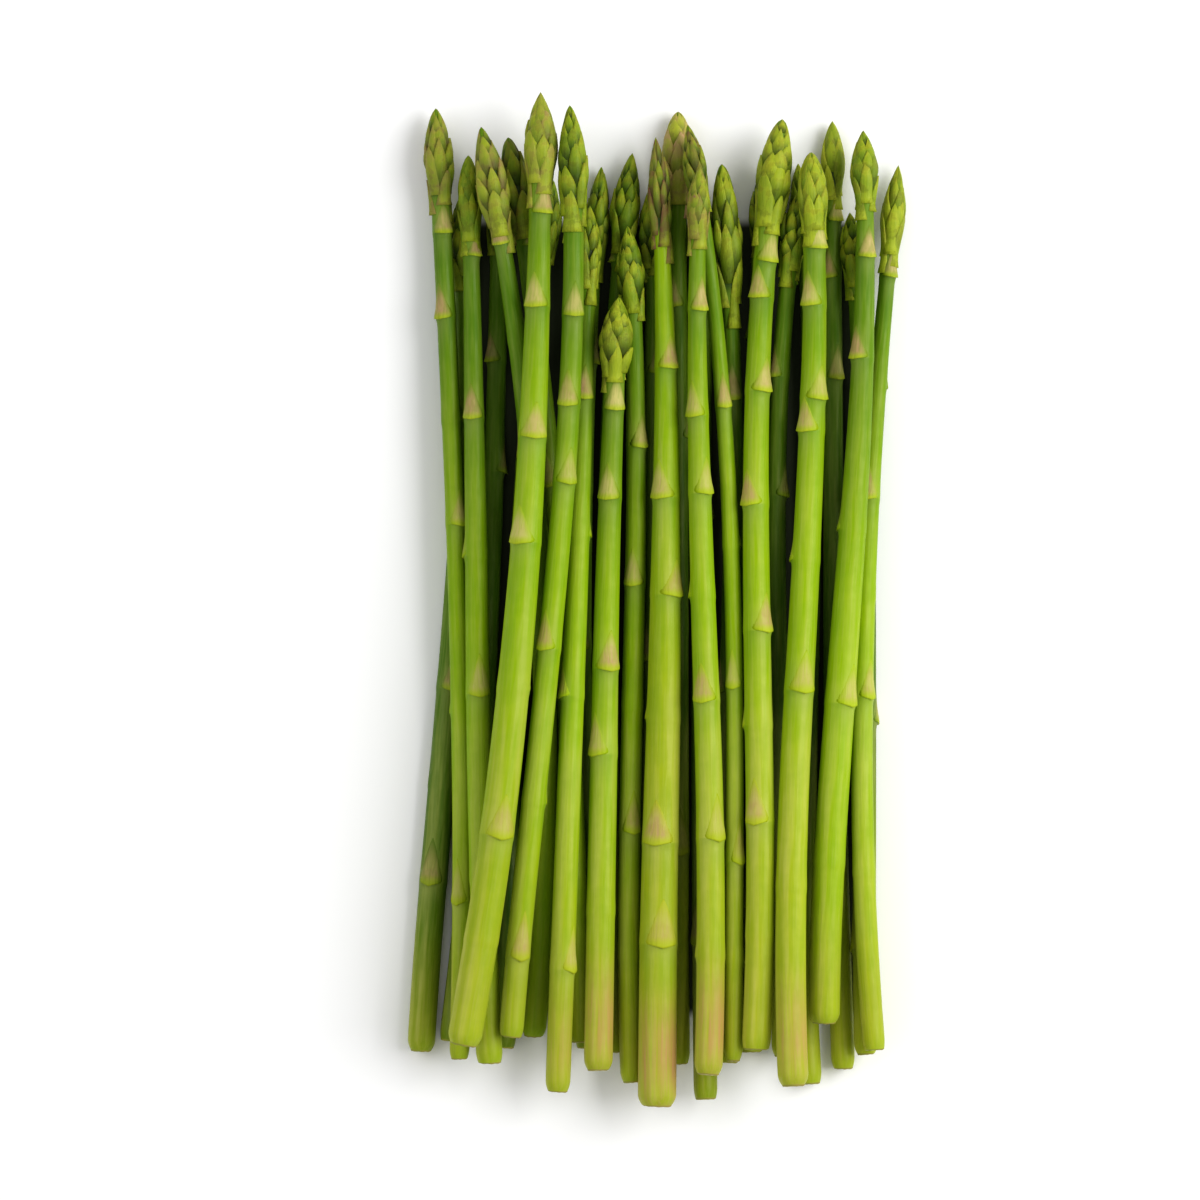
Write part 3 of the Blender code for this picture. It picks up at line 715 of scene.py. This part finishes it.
def head_scale(item, v, turned, loose, sizes, look, draw):
    """One pointed scale of the head, which stands out from the core to the head's outline.

    v is how high it starts, 0 at the neck and 1 at the tip. A loose one is narrower and thicker,
    as a side bud is, and its point stands out.
    """
    low, high = SCALE_SPAN
    height = (v - low) / (high - low)
    reach = graded(SCALE_LENGTHS, height)
    reach *= item.head_length * draw.uniform(*SCALE_LENGTH_VARIES)
    reach *= 1 + CLOSED_LONGER * look["closed"]
    openness = 1 - CLOSED_FLATTER * look["closed"]
    v += draw.uniform(-1, 1) * SCALE_PLACE_VARIES
    neck = neck_at(item)
    start = neck + v * item.head_length
    end = min(start + reach, length(item) - LEAST_RADIUS)
    share, cross = np.meshgrid(np.linspace(0, 1, SCALE_ROWS), np.linspace(-1, 1, SCALE_COLUMNS),
                               indexing="ij")
    footed = 1 - smooth_step(FOOTED_BELOW / 2, FOOTED_BELOW, height)
    widening = 0.72 + 0.28 * np.sin(math.pi / 2 * np.clip(share / SCALE_WIDEST, 0, 1))
    narrowing = 1 - np.clip((share - SCALE_WIDEST) / (1 - SCALE_WIDEST), 0, 1) ** 1.45
    loose = loose * (1 - footed) * (1 - look["closed"])
    profile = (widening * narrowing) * (1 - footed) + (1 - share) ** 0.8 * footed
    half_width = graded(SCALE_HALF_WIDTHS, height)
    half_width += (FOOTED_HALF_WIDTH - half_width) * footed
    half_width *= draw.uniform(*SCALE_WIDTH_VARIES) * (1 - LOOSE_NARROWER * loose)
    facing = turned + draw.uniform(-1, 1) * SCALE_TURN_VARIES
    degrees = facing + half_width * (0.03 + 0.97 * profile) * cross
    along = start + (end - start) * share
    core, outline = core_radius(item, along), head_radius(item, along)
    out = smooth_step(0, 0.75, share)
    radius = core + (outline - core) * out
    bud = ((BUD_BULGE * (1 - 0.6 * footed) + LOOSE_BULGE * loose) * (1 - height)
           * np.sin(math.pi * np.clip(share * 1.25, 0, 1)))
    keel = SCALE_KEEL * (1 - np.abs(cross) ** 1.4) * np.sin(math.pi * np.clip(share + 0.15, 0, 1))
    flare = sizes.scale_flare * draw.uniform(-0.1, 1) * (1 - height) * smooth_step(0.6, 1, share)
    room = np.minimum(outline / (0.5 * item.head / 2), 1)
    radius = radius + openness * ((bud * (1 - cross ** 2) * 0.6 + keel) * room + flare)
    radius = radius + LOOSE_FLARE * loose * smooth_step(0.35, 1, share)
    radius = np.minimum(radius, outline + (sizes.scale_flare + LOOSE_FLARE * loose) * (1 - height))
    radius = radius + footed * sizes.bract_ledge * np.exp(-share / 0.14) * (1 - 0.6 * cross ** 2)
    droop = SCALE_DROOP * cross ** 2 * (1 - share) * room * (1 - footed)
    outer = on_stem(np.maximum(radius - droop, LEAST_RADIUS), degrees, along)
    under = np.minimum(radius - SCALE_THICKNESS - THICKER_AT_FOOT * (1 - share), core)
    under = np.maximum(under - SCALE_SUNK * (1 - out), LEAST_RADIUS / 2)
    inner = on_stem(under, degrees, along)
    blush = np.clip(look["blush"] * draw.uniform(0.3, 1.3), 0, 1)
    traits = dict(look, blush=blush, lengthwise=share, crosswise=cross, variety=draw.random(),
                  footed=footed)
    return closed_shell(outer, inner, HEAD, traits)


def spear_skins(item, places, sizes, draw, look, turned):
    """All the skins of one spear, upright on its butt. turned is where the first scale faces."""
    surface = stem_surface(item, places, sizes, draw)
    skins = [round_stem(item, places, surface, sizes, look), cut_butt(surface, sizes, look, draw)]
    skins += [bract(item, node, facing, surface, sizes, look, draw) for node, facing in places]
    for k in range(sizes.head_scales):
        v = graded(SCALE_SPAN, (k / (sizes.head_scales - 1)) ** SCALE_CROWDING)
        loose = k % LOOSE_EVERY == 1 and k < sizes.head_scales * LOOSE_BELOW
        skins.append(head_scale(item, v, turned, loose, sizes, look, draw))
        turned += GOLDEN_ANGLE
    return skins


def joined_mesh(name, item, skins, rest, shift):
    """One mesh of all the spear's skins, laid in place, with its traits as point attributes."""
    upright = np.concatenate([skin.places for skin in skins])
    placed = laid(item, rest, upright) + shift
    # What would reach through the floor is squashed just above it, and keeps its order
    pressed = placed[:, 2] < FLOOR_PRESS
    placed[pressed, 2] = FLOOR_PRESS * np.exp(placed[pressed, 2] / FLOOR_PRESS - 1)
    faces, materials, first = [], [], 0
    for skin in skins:
        faces += [tuple(first + corner for corner in face) for face in skin.faces]
        materials += [skin.material] * len(skin.faces)
        first += len(skin.places)
    mesh = bpy.data.meshes.new(name)
    mesh.from_pydata(placed.tolist(), [], faces)
    mesh.polygons.foreach_set("material_index", materials)
    mesh.polygons.foreach_set("use_smooth", [True] * len(faces))
    for kind in TRAITS:
        values = []
        for skin in skins:
            if kind == "height":
                values.append(skin.places[:, 2] / length(item) - skin.traits["yellowed"])
            elif kind == "dry":
                share = skin.places[:, 2] / DRIED_LENGTH
                band = (0.35 + 0.65 * smooth_step(0, 0.3, share)) * (1 - smooth_step(0.3, 1, share))
                values.append(band * skin.traits["dried"])
            else:
                values.append(np.broadcast_to(skin.traits.get(kind, 0.0), len(skin.places)))
        layer = mesh.attributes.new(kind, "FLOAT", "POINT")
        layer.data.foreach_set("value", np.concatenate(values).astype(np.float32))
    straight = mesh.attributes.new("straight", "FLOAT_VECTOR", "POINT")
    straight.data.foreach_set("vector", upright.astype(np.float32).ravel())
    mesh.update()
    mesh.validate()
    return mesh


def make_spear(item, materials, sizes):
    """One finished spear in place of its solid."""
    places, rests, shift = bundle_layout()
    draw = random.Random(LOOK_SEED + item.number)
    first_scale = draw.uniform(0, 360)
    look = {name: look_of(item, name) for name in ("blush", "closed", "pale", "dried", "yellowed")}
    # Painted shade: how much darker this spear is painted, more towards the left
    shading = MIDDLE_SHADING - item.tip[0] * SHADING_ACROSS + draw.uniform(-SHADING_VARIES, SHADING_VARIES)
    look["shading"] = 0.0 if item.number in NEVER_SHADED else float(np.clip(shading, 0, 1))
    look["yellowed"] += draw.uniform(-YELLOW_VARIES, YELLOW_VARIES)
    skins = spear_skins(item, places[item.name], sizes, draw, look, first_scale)
    mesh = joined_mesh(f"{item.name}_finished", item, skins, rests[item.name], shift)
    for material in materials:
        mesh.materials.append(material)
    piece = bpy.data.objects.new(f"{item.name}_finished", mesh)
    bpy.context.scene.collection.objects.link(piece)
    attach(piece, "root")
    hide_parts(item.name)
    return piece


# Materials

# Painted shade: dark green for the head's core between its scales; it also darkens the cut's green rim
PAINTED_SHADE_GREEN = (0.035, 0.06, 0.012)
STRAND_GREEN = (0.34, 0.38, 0.12)
# Factors for red, green and blue that darken a colour
DARK_STREAKS = (0.55, 0.78, 0.5)
DARK_BLOTCHES = (0.62, 0.78, 0.45)
# The next two darken as painted shade, under the bracts and under the head's scales
PAINTED_SHADE_UNDER_NODES = (0.38, 0.6, 0.35)
PAINTED_SHADE_UNDER_SCALES = (0.15, 0.22, 0.15)
DARK_SCALES, SCALE_STREAKS, SCALE_BLOTCHES = (0.5, 0.62, 0.5), (0.6, 0.75, 0.5), (0.5, 0.5, 0.4)
# Factors of the painted shade on the shaded spears
SHADED_STEM, SHADED_SCALES = (0.55, 0.68, 0.6), (0.5, 0.6, 0.5)
# Heights on the stem, as shares of its length, where the butt's and the neck's colours fade out
BUTT_FADES, NECK_FADES = (0.0, 0.42), (0.5, 0.92)
SHINE, BUMP_STRENGTH = 0.15, 0.6
# How far a spear's colours are darkened as painted shade, further on the lower spears
DEEP_SHADE_STRENGTH, BRIGHT_SHADE_STRENGTH = 0.6, 0.35
BROAD_STREAKS = {"Streaks_per_metre": 260.0, "Streak_length": 14.0}
FINE_STREAKS = {"Streaks_per_metre": 1900.0, "Streak_length": 16.0}
HEAD_GRAIN = {"Streaks_per_metre": 2600.0, "Streak_length": 7.0, "Blotches_per_metre": 420.0}
CUT_GRAIN = {"Streaks_per_metre": 3000.0, "Streak_length": 1.0, "Blotches_per_metre": 500.0}


def new_node(tree, kind, **settings):
    """A new shader node with its settings."""
    made = tree.nodes.new(kind)
    for name, value in settings.items():
        setattr(made, name, value)
    return made


def feed(tree, socket, value):
    """Links a socket to another one, or sets it to a plain value."""
    if isinstance(value, bpy.types.NodeSocket):
        tree.links.new(value, socket)
    elif socket.type == "RGBA":
        socket.default_value = (*value[:3], 1)
    else:
        socket.default_value = value


def blend(tree, share, first, second, how="MIX"):
    """A mix of two colours by a share."""
    mixer = new_node(tree, "ShaderNodeMix", data_type="RGBA", blend_type=how)
    for name, value in (("Factor_Float", share), ("A_Color", first), ("B_Color", second)):
        feed(tree, next(s for s in mixer.inputs if s.identifier == name), value)
    return next(s for s in mixer.outputs if s.identifier == "Result_Color")


def calculate(tree, operation, first, second=0.0, clamp=False):
    """The result of arithmetic on two values."""
    sum_node = new_node(tree, "ShaderNodeMath", operation=operation, use_clamp=clamp)
    feed(tree, sum_node.inputs[0], first)
    feed(tree, sum_node.inputs[1], second)
    return sum_node.outputs[0]


def times(tree, first, second, clamp=False):
    """The product of two values."""
    return calculate(tree, "MULTIPLY", first, second, clamp)


def darkened(tree, share, colour, factors):
    """A colour multiplied by factors where the share is high."""
    return blend(tree, share, colour, blend(tree, 1.0, colour, factors, "MULTIPLY"))


def between(tree, value, low, high, to_low=0.0, to_high=1.0):
    """A value mapped smoothly from low..high to another range."""
    mapped = new_node(tree, "ShaderNodeMapRange", interpolation_type="SMOOTHSTEP")
    for name, given in (("Value", value), ("From Min", low), ("From Max", high),
                        ("To Min", to_low), ("To Max", to_high)):
        feed(tree, mapped.inputs[name], given)
    return mapped.outputs["Result"]


def trait(tree, name):
    """One of the mesh's traits as a value."""
    return new_node(tree, "ShaderNodeAttribute", attribute_name=name).outputs["Fac"]


def straight_place(tree):
    """The place on the upright spear, in metres, which streaks follow."""
    return new_node(tree, "ShaderNodeAttribute", attribute_name="straight").outputs["Vector"]


def new_group(name, inputs, outputs):
    """An empty shader node group with named sockets, and its two ends."""
    tree = bpy.data.node_groups.new(name, "ShaderNodeTree")
    for socket_name, kind, default in inputs:
        socket = tree.interface.new_socket(socket_name, in_out="INPUT", socket_type=kind)
        if default is not None:
            socket.default_value = default
    for socket_name, kind in outputs:
        tree.interface.new_socket(socket_name, in_out="OUTPUT", socket_type=kind)
    return tree, new_node(tree, "NodeGroupInput"), new_node(tree, "NodeGroupOutput")


def noise(tree, place, scale, detail=2.0, roughness=0.5):
    """A noise value at a place."""
    texture = new_node(tree, "ShaderNodeTexNoise")
    for name, value in (("Vector", place), ("Scale", scale), ("Detail", detail),
                        ("Roughness", roughness)):
        feed(tree, texture.inputs[name], value)
    return texture.outputs["Fac"]


def mottle_group():
    """Lengthwise streaks and soft blotches, which all the spears' skins share."""
    tree, start, end = new_group(
        "asparagus_mottle",
        (("Place", "NodeSocketVector", None), ("Streaks per metre", "NodeSocketFloat", 2200.0),
         ("Streak length", "NodeSocketFloat", 14.0), ("Blotches per metre", "NodeSocketFloat", 160.0)),
        (("Streaks", "NodeSocketFloat"), ("Blotches", "NodeSocketFloat")))
    shrink = calculate(tree, "DIVIDE", 1.0, start.outputs["Streak length"])
    stretch = new_node(tree, "ShaderNodeCombineXYZ")
    feed(tree, stretch.inputs["X"], 1.0)
    feed(tree, stretch.inputs["Y"], 1.0)
    feed(tree, stretch.inputs["Z"], shrink)
    stretched = new_node(tree, "ShaderNodeVectorMath", operation="MULTIPLY")
    feed(tree, stretched.inputs[0], start.outputs["Place"])
    feed(tree, stretched.inputs[1], stretch.outputs["Vector"])
    streaks = noise(tree, stretched.outputs["Vector"], start.outputs["Streaks per metre"], 2.0)
    blotches = noise(tree, start.outputs["Place"], start.outputs["Blotches per metre"], 3.0, 0.6)
    feed(tree, end.inputs["Streaks"], between(tree, streaks, 0.32, 0.68))
    feed(tree, end.inputs["Blotches"], between(tree, blotches, 0.3, 0.7))
    return tree


def waxy_group():
    """Roughness and height of a waxy, faintly ribbed skin."""
    tree, start, end = new_group(
        "asparagus_wax",
        (("Streaks", "NodeSocketFloat", 0.5), ("Blotches", "NodeSocketFloat", 0.5),
         ("Place", "NodeSocketVector", None), ("Roughness", "NodeSocketFloat", 0.45),
         ("Ribbing", "NodeSocketFloat", 0.6)),
        (("Roughness", "NodeSocketFloat"), ("Height", "NodeSocketFloat")))
    grain = noise(tree, start.outputs["Place"], 5200.0, 2.0)
    ribs = times(tree, start.outputs["Streaks"], start.outputs["Ribbing"])
    relief = calculate(tree, "MULTIPLY_ADD", grain, 0.35)
    feed(tree, relief.node.inputs[2], ribs)
    feed(tree, end.inputs["Height"], relief)
    wax = between(tree, start.outputs["Blotches"], 0.0, 1.0, -0.07, 0.07)
    feed(tree, end.inputs["Roughness"], calculate(tree, "ADD", start.outputs["Roughness"], wax, True))
    return tree


def placed_group(tree, group, **inputs):
    """A node group placed in a material, with its own values."""
    made = new_node(tree, "ShaderNodeGroup", node_tree=group)
    for name, value in inputs.items():
        feed(tree, made.inputs[name.replace("_", " ")], value)
    return made.outputs


def skin_material(name, groups, colour_from, roughness, ribbing, relief, mottle):
    """A skin of one kind. colour_from gives its colour from the tree and the three patterns."""
    material = bpy.data.materials.new(name)
    material.use_nodes = True
    tree = material.node_tree
    shader = tree.nodes["Principled BSDF"]
    place = straight_place(tree)
    marks = placed_group(tree, groups["mottle"], Place=place, **mottle)
    wax = placed_group(tree, groups["wax"], Place=place, Streaks=marks["Streaks"],
                       Blotches=marks["Blotches"], Roughness=roughness, Ribbing=ribbing)
    bump = new_node(tree, "ShaderNodeBump")
    bump.inputs["Strength"].default_value = BUMP_STRENGTH
    bump.inputs["Distance"].default_value = relief
    feed(tree, bump.inputs["Height"], wax["Height"])
    feed(tree, shader.inputs["Normal"], bump.outputs["Normal"])
    feed(tree, shader.inputs["Roughness"], wax["Roughness"])
    broad = placed_group(tree, groups["mottle"], Place=place, **BROAD_STREAKS)["Streaks"]
    feed(tree, shader.inputs["Base Color"],
         colour_from(tree, marks["Streaks"], marks["Blotches"], broad))
    shader.inputs["Specular IOR Level"].default_value = SHINE
    return material


def skin_at_height(tree, colours, middle):
    """The skin's plain colour: yellower at the butt and darker under the head."""
    height = trait(tree, "height")
    lower = blend(tree, between(tree, height, *BUTT_FADES), colours.butt_green, middle)
    return blend(tree, between(tree, height, *NECK_FADES), lower, colours.neck_green)


def stem_colour(colours, middle, shade_strength):
    """The stem's colour: streaked and blotched, paler round the bracts with painted shade under them,
    tan where it is dry; painted shade also darkens shaded spears and the head's core.
    """
    def colour(tree, streaks, blotches, broad):
        skin = skin_at_height(tree, colours, middle)
        skin = darkened(tree, times(tree, broad, 0.4), skin, DARK_STREAKS)
        # Paler bands, the broad ones lower on the stem: partly the skin's pale wax, partly a painted
        # sheen
        wide = times(tree, between(tree, broad, 0.55, 0.0, 0.0, 0.45),
                     between(tree, trait(tree, "height"), 0.2, 0.75, 1.0, 0.2))
        pale = calculate(tree, "ADD", times(tree, streaks, 0.2), wide, True)
        skin = blend(tree, pale, skin, blend(tree, 0.55, skin, colours.bract_pale))
        skin = darkened(tree, times(tree, blotches, 0.28), skin, DARK_BLOTCHES)
        # Painted shade on a shaded spear
        skin = darkened(tree, times(tree, trait(tree, "shading"), shade_strength), skin, SHADED_STEM)
        skin = blend(tree, times(tree, trait(tree, "near_bract"), 0.28), skin, colours.bract_pale)
        # Painted shade under each bract
        skin = darkened(tree, times(tree, trait(tree, "painted_shade_below_node"), 0.75), skin, PAINTED_SHADE_UNDER_NODES)
        spread = calculate(tree, "ADD", times(tree, broad, 0.8), times(tree, streaks, 0.45))
        dried = times(tree, trait(tree, "dry"), spread, True)
        skin = blend(tree, dried, skin, colours.dried_tan)
        # Painted shade: the head's core between its scales is painted dark
        return blend(tree, trait(tree, "in_head"), skin, PAINTED_SHADE_GREEN)
    return colour


def bract_colour(colours, middle, shade_strength):
    """The bract's colour: a yellow-green foot, a pale or tan middle, greener edges and point."""
    def colour(tree, streaks, blotches, broad):
        lengthwise = trait(tree, "lengthwise")
        skin = skin_at_height(tree, colours, middle)
        tint = times(tree, trait(tree, "blush"), between(tree, blotches, 0.0, 1.0, 0.6, 1.3), True)
        inner = blend(tree, tint, colours.bract_pale, colours.bract_tan)
        inner = blend(tree, between(tree, lengthwise, 0.03, 0.2), colours.bract_foot, inner)
        side = calculate(tree, "POWER", calculate(tree, "ABSOLUTE", trait(tree, "crosswise")), 1.8)
        shown = times(tree, between(tree, side, 0.0, 1.0, 1.0, 0.1),
                      between(tree, lengthwise, 0.45, 1.0, 1.0, 0.15))
        shown = times(tree, shown, trait(tree, "variety"))
        shown = times(tree, shown, between(tree, streaks, 0.0, 1.0, 1.0, 0.7))
        skin = blend(tree, shown, skin, inner)
        # Painted shade on a shaded spear
        skin = darkened(tree, times(tree, trait(tree, "shading"), shade_strength), skin, SHADED_SCALES)
        return blend(tree, times(tree, trait(tree, "dry"), 0.8, True), skin, colours.dried_tan)
    return colour


def head_colour(colours, shade_strength):
    """The head's colour: olive or yellow scales with painted highlights on their middles, painted
    shade on their covered lower parts, and purple-brown points and edges.
    """
    def colour(tree, streaks, blotches, broad):
        lengthwise = trait(tree, "lengthwise")
        # Painted highlight on the exposed part of each scale
        painted_highlight = times(tree, between(tree, lengthwise, 0.15, 0.75),
                    between(tree, blotches, 0.2, 0.9, 0.35, 1.0))
        variety = trait(tree, "variety")
        paler = times(tree, trait(tree, "pale"), 0.6)
        skin = blend(tree, paler, colours.head_green, colours.head_yellow_and_highlight)
        skin = blend(tree, painted_highlight, skin, colours.head_yellow_and_highlight)
        skin = darkened(tree, between(tree, variety, 0.35, 1.0, 0.0, 0.8), skin, DARK_SCALES)
        footed = trait(tree, "footed")
        # Painted shade on the lower part of each scale, where the scale above covers it
        painted_shade_share = times(tree, between(tree, lengthwise, 0.1, 0.62, 0.85, 0.0),
                        calculate(tree, "SUBTRACT", 1.0, footed))
        painted_shade_share = times(tree, painted_shade_share, between(tree, trait(tree, "closed"), 0.0, 1.0, 1.0, 0.4))
        skin = darkened(tree, painted_shade_share, skin, PAINTED_SHADE_UNDER_SCALES)
        foot = times(tree, footed, between(tree, lengthwise, 0.0, 0.5, 1.0, 0.0))
        skin = blend(tree, times(tree, foot, 0.75), skin, colours.bract_foot)
        skin = darkened(tree, times(tree, streaks, 0.3), skin, SCALE_STREAKS)
        skin = darkened(tree, between(tree, blotches, 0.5, 0.8, 0.0, 0.5), skin, SCALE_BLOTCHES)
        edge = calculate(tree, "POWER", calculate(tree, "ABSOLUTE", trait(tree, "crosswise")), 2.0)
        outer = calculate(tree, "MAXIMUM", between(tree, lengthwise, 0.45, 1.0), edge)
        spread = calculate(tree, "ADD", times(tree, outer, 0.75), 0.5)
        blush = times(tree, trait(tree, "blush"), spread, True)
        brown = blend(tree, trait(tree, "pale"), colours.head_purple, colours.bract_tan)
        blush = times(tree, blush, between(tree, blotches, 0.0, 1.0, 0.5, 1.0), True)
        skin = blend(tree, blush, skin, brown)
        # Painted shade on a shaded spear
        return darkened(tree, times(tree, trait(tree, "shading"), shade_strength), skin, SHADED_SCALES)
    return colour


def cut_colour(colours):
    """The cut end: pale flesh with darker strands, a green rim darkened with painted shade, and tan
    where it is dry.
    """
    def colour(tree, streaks, blotches, broad):
        strands = new_node(tree, "ShaderNodeTexVoronoi")
        feed(tree, strands.inputs["Vector"], straight_place(tree))
        feed(tree, strands.inputs["Scale"], 1500.0)
        dots = between(tree, strands.outputs["Distance"], 0.15, 0.4, 0.5, 0.0)
        flesh = blend(tree, dots, colours.flesh, STRAND_GREEN)
        # The green skin round the cut, darkened with painted shade
        rim = between(tree, trait(tree, "crosswise"), 0.6, 0.9, 0.05, 0.9)
        flesh = blend(tree, rim, flesh, blend(tree, 0.5, colours.butt_green, PAINTED_SHADE_GREEN))
        flesh = blend(tree, times(tree, blotches, 0.3), flesh, colours.dried_tan)
        return blend(tree, times(tree, trait(tree, "dry"), 0.8, True), flesh, colours.dried_tan)
    return colour


def shared_groups():
    """The node groups that the materials share, made once."""
    return {"mottle": bpy.data.node_groups.get("asparagus_mottle") or mottle_group(),
            "wax": bpy.data.node_groups.get("asparagus_wax") or waxy_group()}


def spear_materials(kind, middle, shade_strength, colours):
    """The four materials of a spear, in the order of the mesh's material numbers."""
    groups = shared_groups()
    kinds = (
        ("stem_skin", stem_colour(colours, middle, shade_strength), 0.42, 0.7, 0.06 * MM, FINE_STREAKS),
        ("bract_skin", bract_colour(colours, middle, shade_strength), 0.5, 0.9, 0.08 * MM, FINE_STREAKS),
        ("head_skin", head_colour(colours, shade_strength), 0.48, 0.8, 0.1 * MM, HEAD_GRAIN),
        ("cut_flesh", cut_colour(colours), 0.62, 0.3, 0.1 * MM, CUT_GRAIN),
    )
    return [skin_material(f"{kind}_{name}", groups, *values) for name, *values in kinds]


# Operators

def finish_spears(context, items, kind, shade_strength):
    """Finishes some spears in the colours of their kind. The lower spears' kind is painted darker, as
    painted shade.
    """
    colours = context.scene.asparagus_colours
    materials = spear_materials(kind, getattr(colours, f"{kind}_green"), shade_strength, colours)
    for item in items:
        make_spear(item, materials, context.scene.asparagus_sizes)
    return {"FINISHED"}


class ASPARAGUS_OT_deep_spears(bpy.types.Operator):
    """Finish the spears at the bottom of the bundle, in skin colours darkened as painted shade"""
    bl_idname = "asparagus.deep_spears"
    bl_label = "Lower spears"

    def execute(self, context):
        return finish_spears(context, DEEP_SPEARS, "deep", DEEP_SHADE_STRENGTH)


class ASPARAGUS_OT_bright_spears(bpy.types.Operator):
    """Finish the brighter spears at the top of the bundle"""
    bl_idname = "asparagus.bright_spears"
    bl_label = "Upper spears"

    def execute(self, context):
        return finish_spears(context, BRIGHT_SPEARS, "bright", BRIGHT_SHADE_STRENGTH)


def floor_material(colour, painted_shadow_colour):
    """A pale, matt floor with a faint unevenness, and a painted shadow where only the gaps between
    spears show it.
    """
    material = bpy.data.materials.new("pale_floor")
    material.use_nodes = True
    tree = material.node_tree
    shader = tree.nodes["Principled BSDF"]
    place = new_node(tree, "ShaderNodeTexCoord").outputs["Object"]
    shade = tuple(channel * FLOOR_UNEVEN for channel in colour)
    clear = blend(tree, noise(tree, place, 9.0), colour, shade)
    across = new_node(tree, "ShaderNodeSeparateXYZ")
    feed(tree, across.inputs[0], place)
    # Painted shadow: the floor under the bundle is painted dark, with soft edges
    painted_shade_share = 1.0
    for axis, (low, high) in PAINTED_SHADOW_PATCH.items():
        inside = times(tree, between(tree, across.outputs[axis], low, low + PAINTED_SHADOW_EDGE),
                       between(tree, across.outputs[axis], high, high - PAINTED_SHADOW_EDGE))
        painted_shade_share = times(tree, painted_shade_share, inside)
    feed(tree, shader.inputs["Base Color"], blend(tree, painted_shade_share, clear, painted_shadow_colour))
    shader.inputs["Roughness"].default_value = 0.9
    shader.inputs["Specular IOR Level"].default_value = 0.1
    return material


class ASPARAGUS_OT_stage(bpy.types.Operator):
    """Set the floor, the two soft lights and the camera that looks straight down"""
    bl_idname = "asparagus.stage"
    bl_label = "Stage"

    def execute(self, context):
        scene = context.scene
        settings = scene.asparagus_stage
        half = settings.floor_size / 2
        mesh = bpy.data.meshes.new("floor")
        mesh.from_pydata([(-half, -half, 0), (half, -half, 0), (half, half, 0), (-half, half, 0)],
                         [], [(0, 1, 2, 3)])
        mesh.materials.append(floor_material(settings.floor_colour, settings.painted_shadow_colour))
        floor = bpy.data.objects.new("floor", mesh)
        floor.location.z = -FLOOR_BELOW
        scene.collection.objects.link(floor)
        self.add_light(scene, "soft_key", settings.key_power, settings.key_place, settings)
        self.add_light(scene, "soft_fill", settings.fill_power, settings.fill_place, settings)
        self.add_camera(scene, settings)
        world = bpy.data.worlds.new("white_surroundings")
        world.use_nodes = True
        sky = world.node_tree.nodes["Background"]
        sky.inputs["Color"].default_value = (1, 1, 1, 1)
        sky.inputs["Strength"].default_value = settings.sky_strength
        scene.world = world
        scene.view_settings.view_transform = "Standard"
        scene.view_settings.look = "Medium High Contrast"
        return {"FINISHED"}

    def add_light(self, scene, name, power, place, settings):
        """A large soft light, which shines at the middle of the bundle."""
        light = bpy.data.lights.new(name, "AREA")
        light.energy = power
        light.size = settings.light_size
        lamp = bpy.data.objects.new(name, light)
        lamp.location = place
        lamp.rotation_euler = place.to_track_quat("Z", "Y").to_euler()
        scene.collection.objects.link(lamp)

    def add_camera(self, scene, settings):
        """The camera, straight above, far enough to show the picture's width at mid height."""
        camera_data = bpy.data.cameras.new("camera")
        camera_data.lens = settings.lens
        camera = bpy.data.objects.new("camera", camera_data)
        mid_height = cad_box[1][2] / 2
        distance = settings.frame_width * settings.lens / camera_data.sensor_width
        camera.location = (settings.frame_centre, 0, mid_height + distance)
        scene.collection.objects.link(camera)
        scene.camera = camera


class ASPARAGUS_PT_bundle(bpy.types.Panel):
    """The bundle's buttons and settings"""
    bl_idname = "ASPARAGUS_PT_bundle"
    bl_label = "Asparagus bundle"
    bl_space_type = "VIEW_3D"
    bl_region_type = "UI"
    bl_category = "Asparagus"

    def draw(self, context):
        layout = self.layout
        for operator in OPERATORS:
            layout.operator(operator.bl_idname)
        for name in PROPERTIES:
            settings = getattr(context.scene, name)
            box = layout.box()
            for key in settings.__annotations__:
                box.prop(settings, key)


OPERATORS = (ASPARAGUS_OT_deep_spears, ASPARAGUS_OT_bright_spears, ASPARAGUS_OT_stage)
PROPERTIES = {"asparagus_sizes": AsparagusSizes, "asparagus_colours": AsparagusColours,
              "asparagus_stage": AsparagusStage}
CLASSES = (*PROPERTIES.values(), *OPERATORS, ASPARAGUS_PT_bundle)


def register():
    for item in CLASSES:
        bpy.utils.register_class(item)
    for name, group in PROPERTIES.items():
        setattr(bpy.types.Scene, name, PointerProperty(type=group))


def unregister():
    for name in PROPERTIES:
        delattr(bpy.types.Scene, name)
    for item in reversed(CLASSES):
        bpy.utils.unregister_class(item)


def main():
    register()
    bpy.ops.asparagus.deep_spears()
    bpy.ops.asparagus.bright_spears()
    bpy.ops.asparagus.stage()


if __name__ == "__main__":
    main()
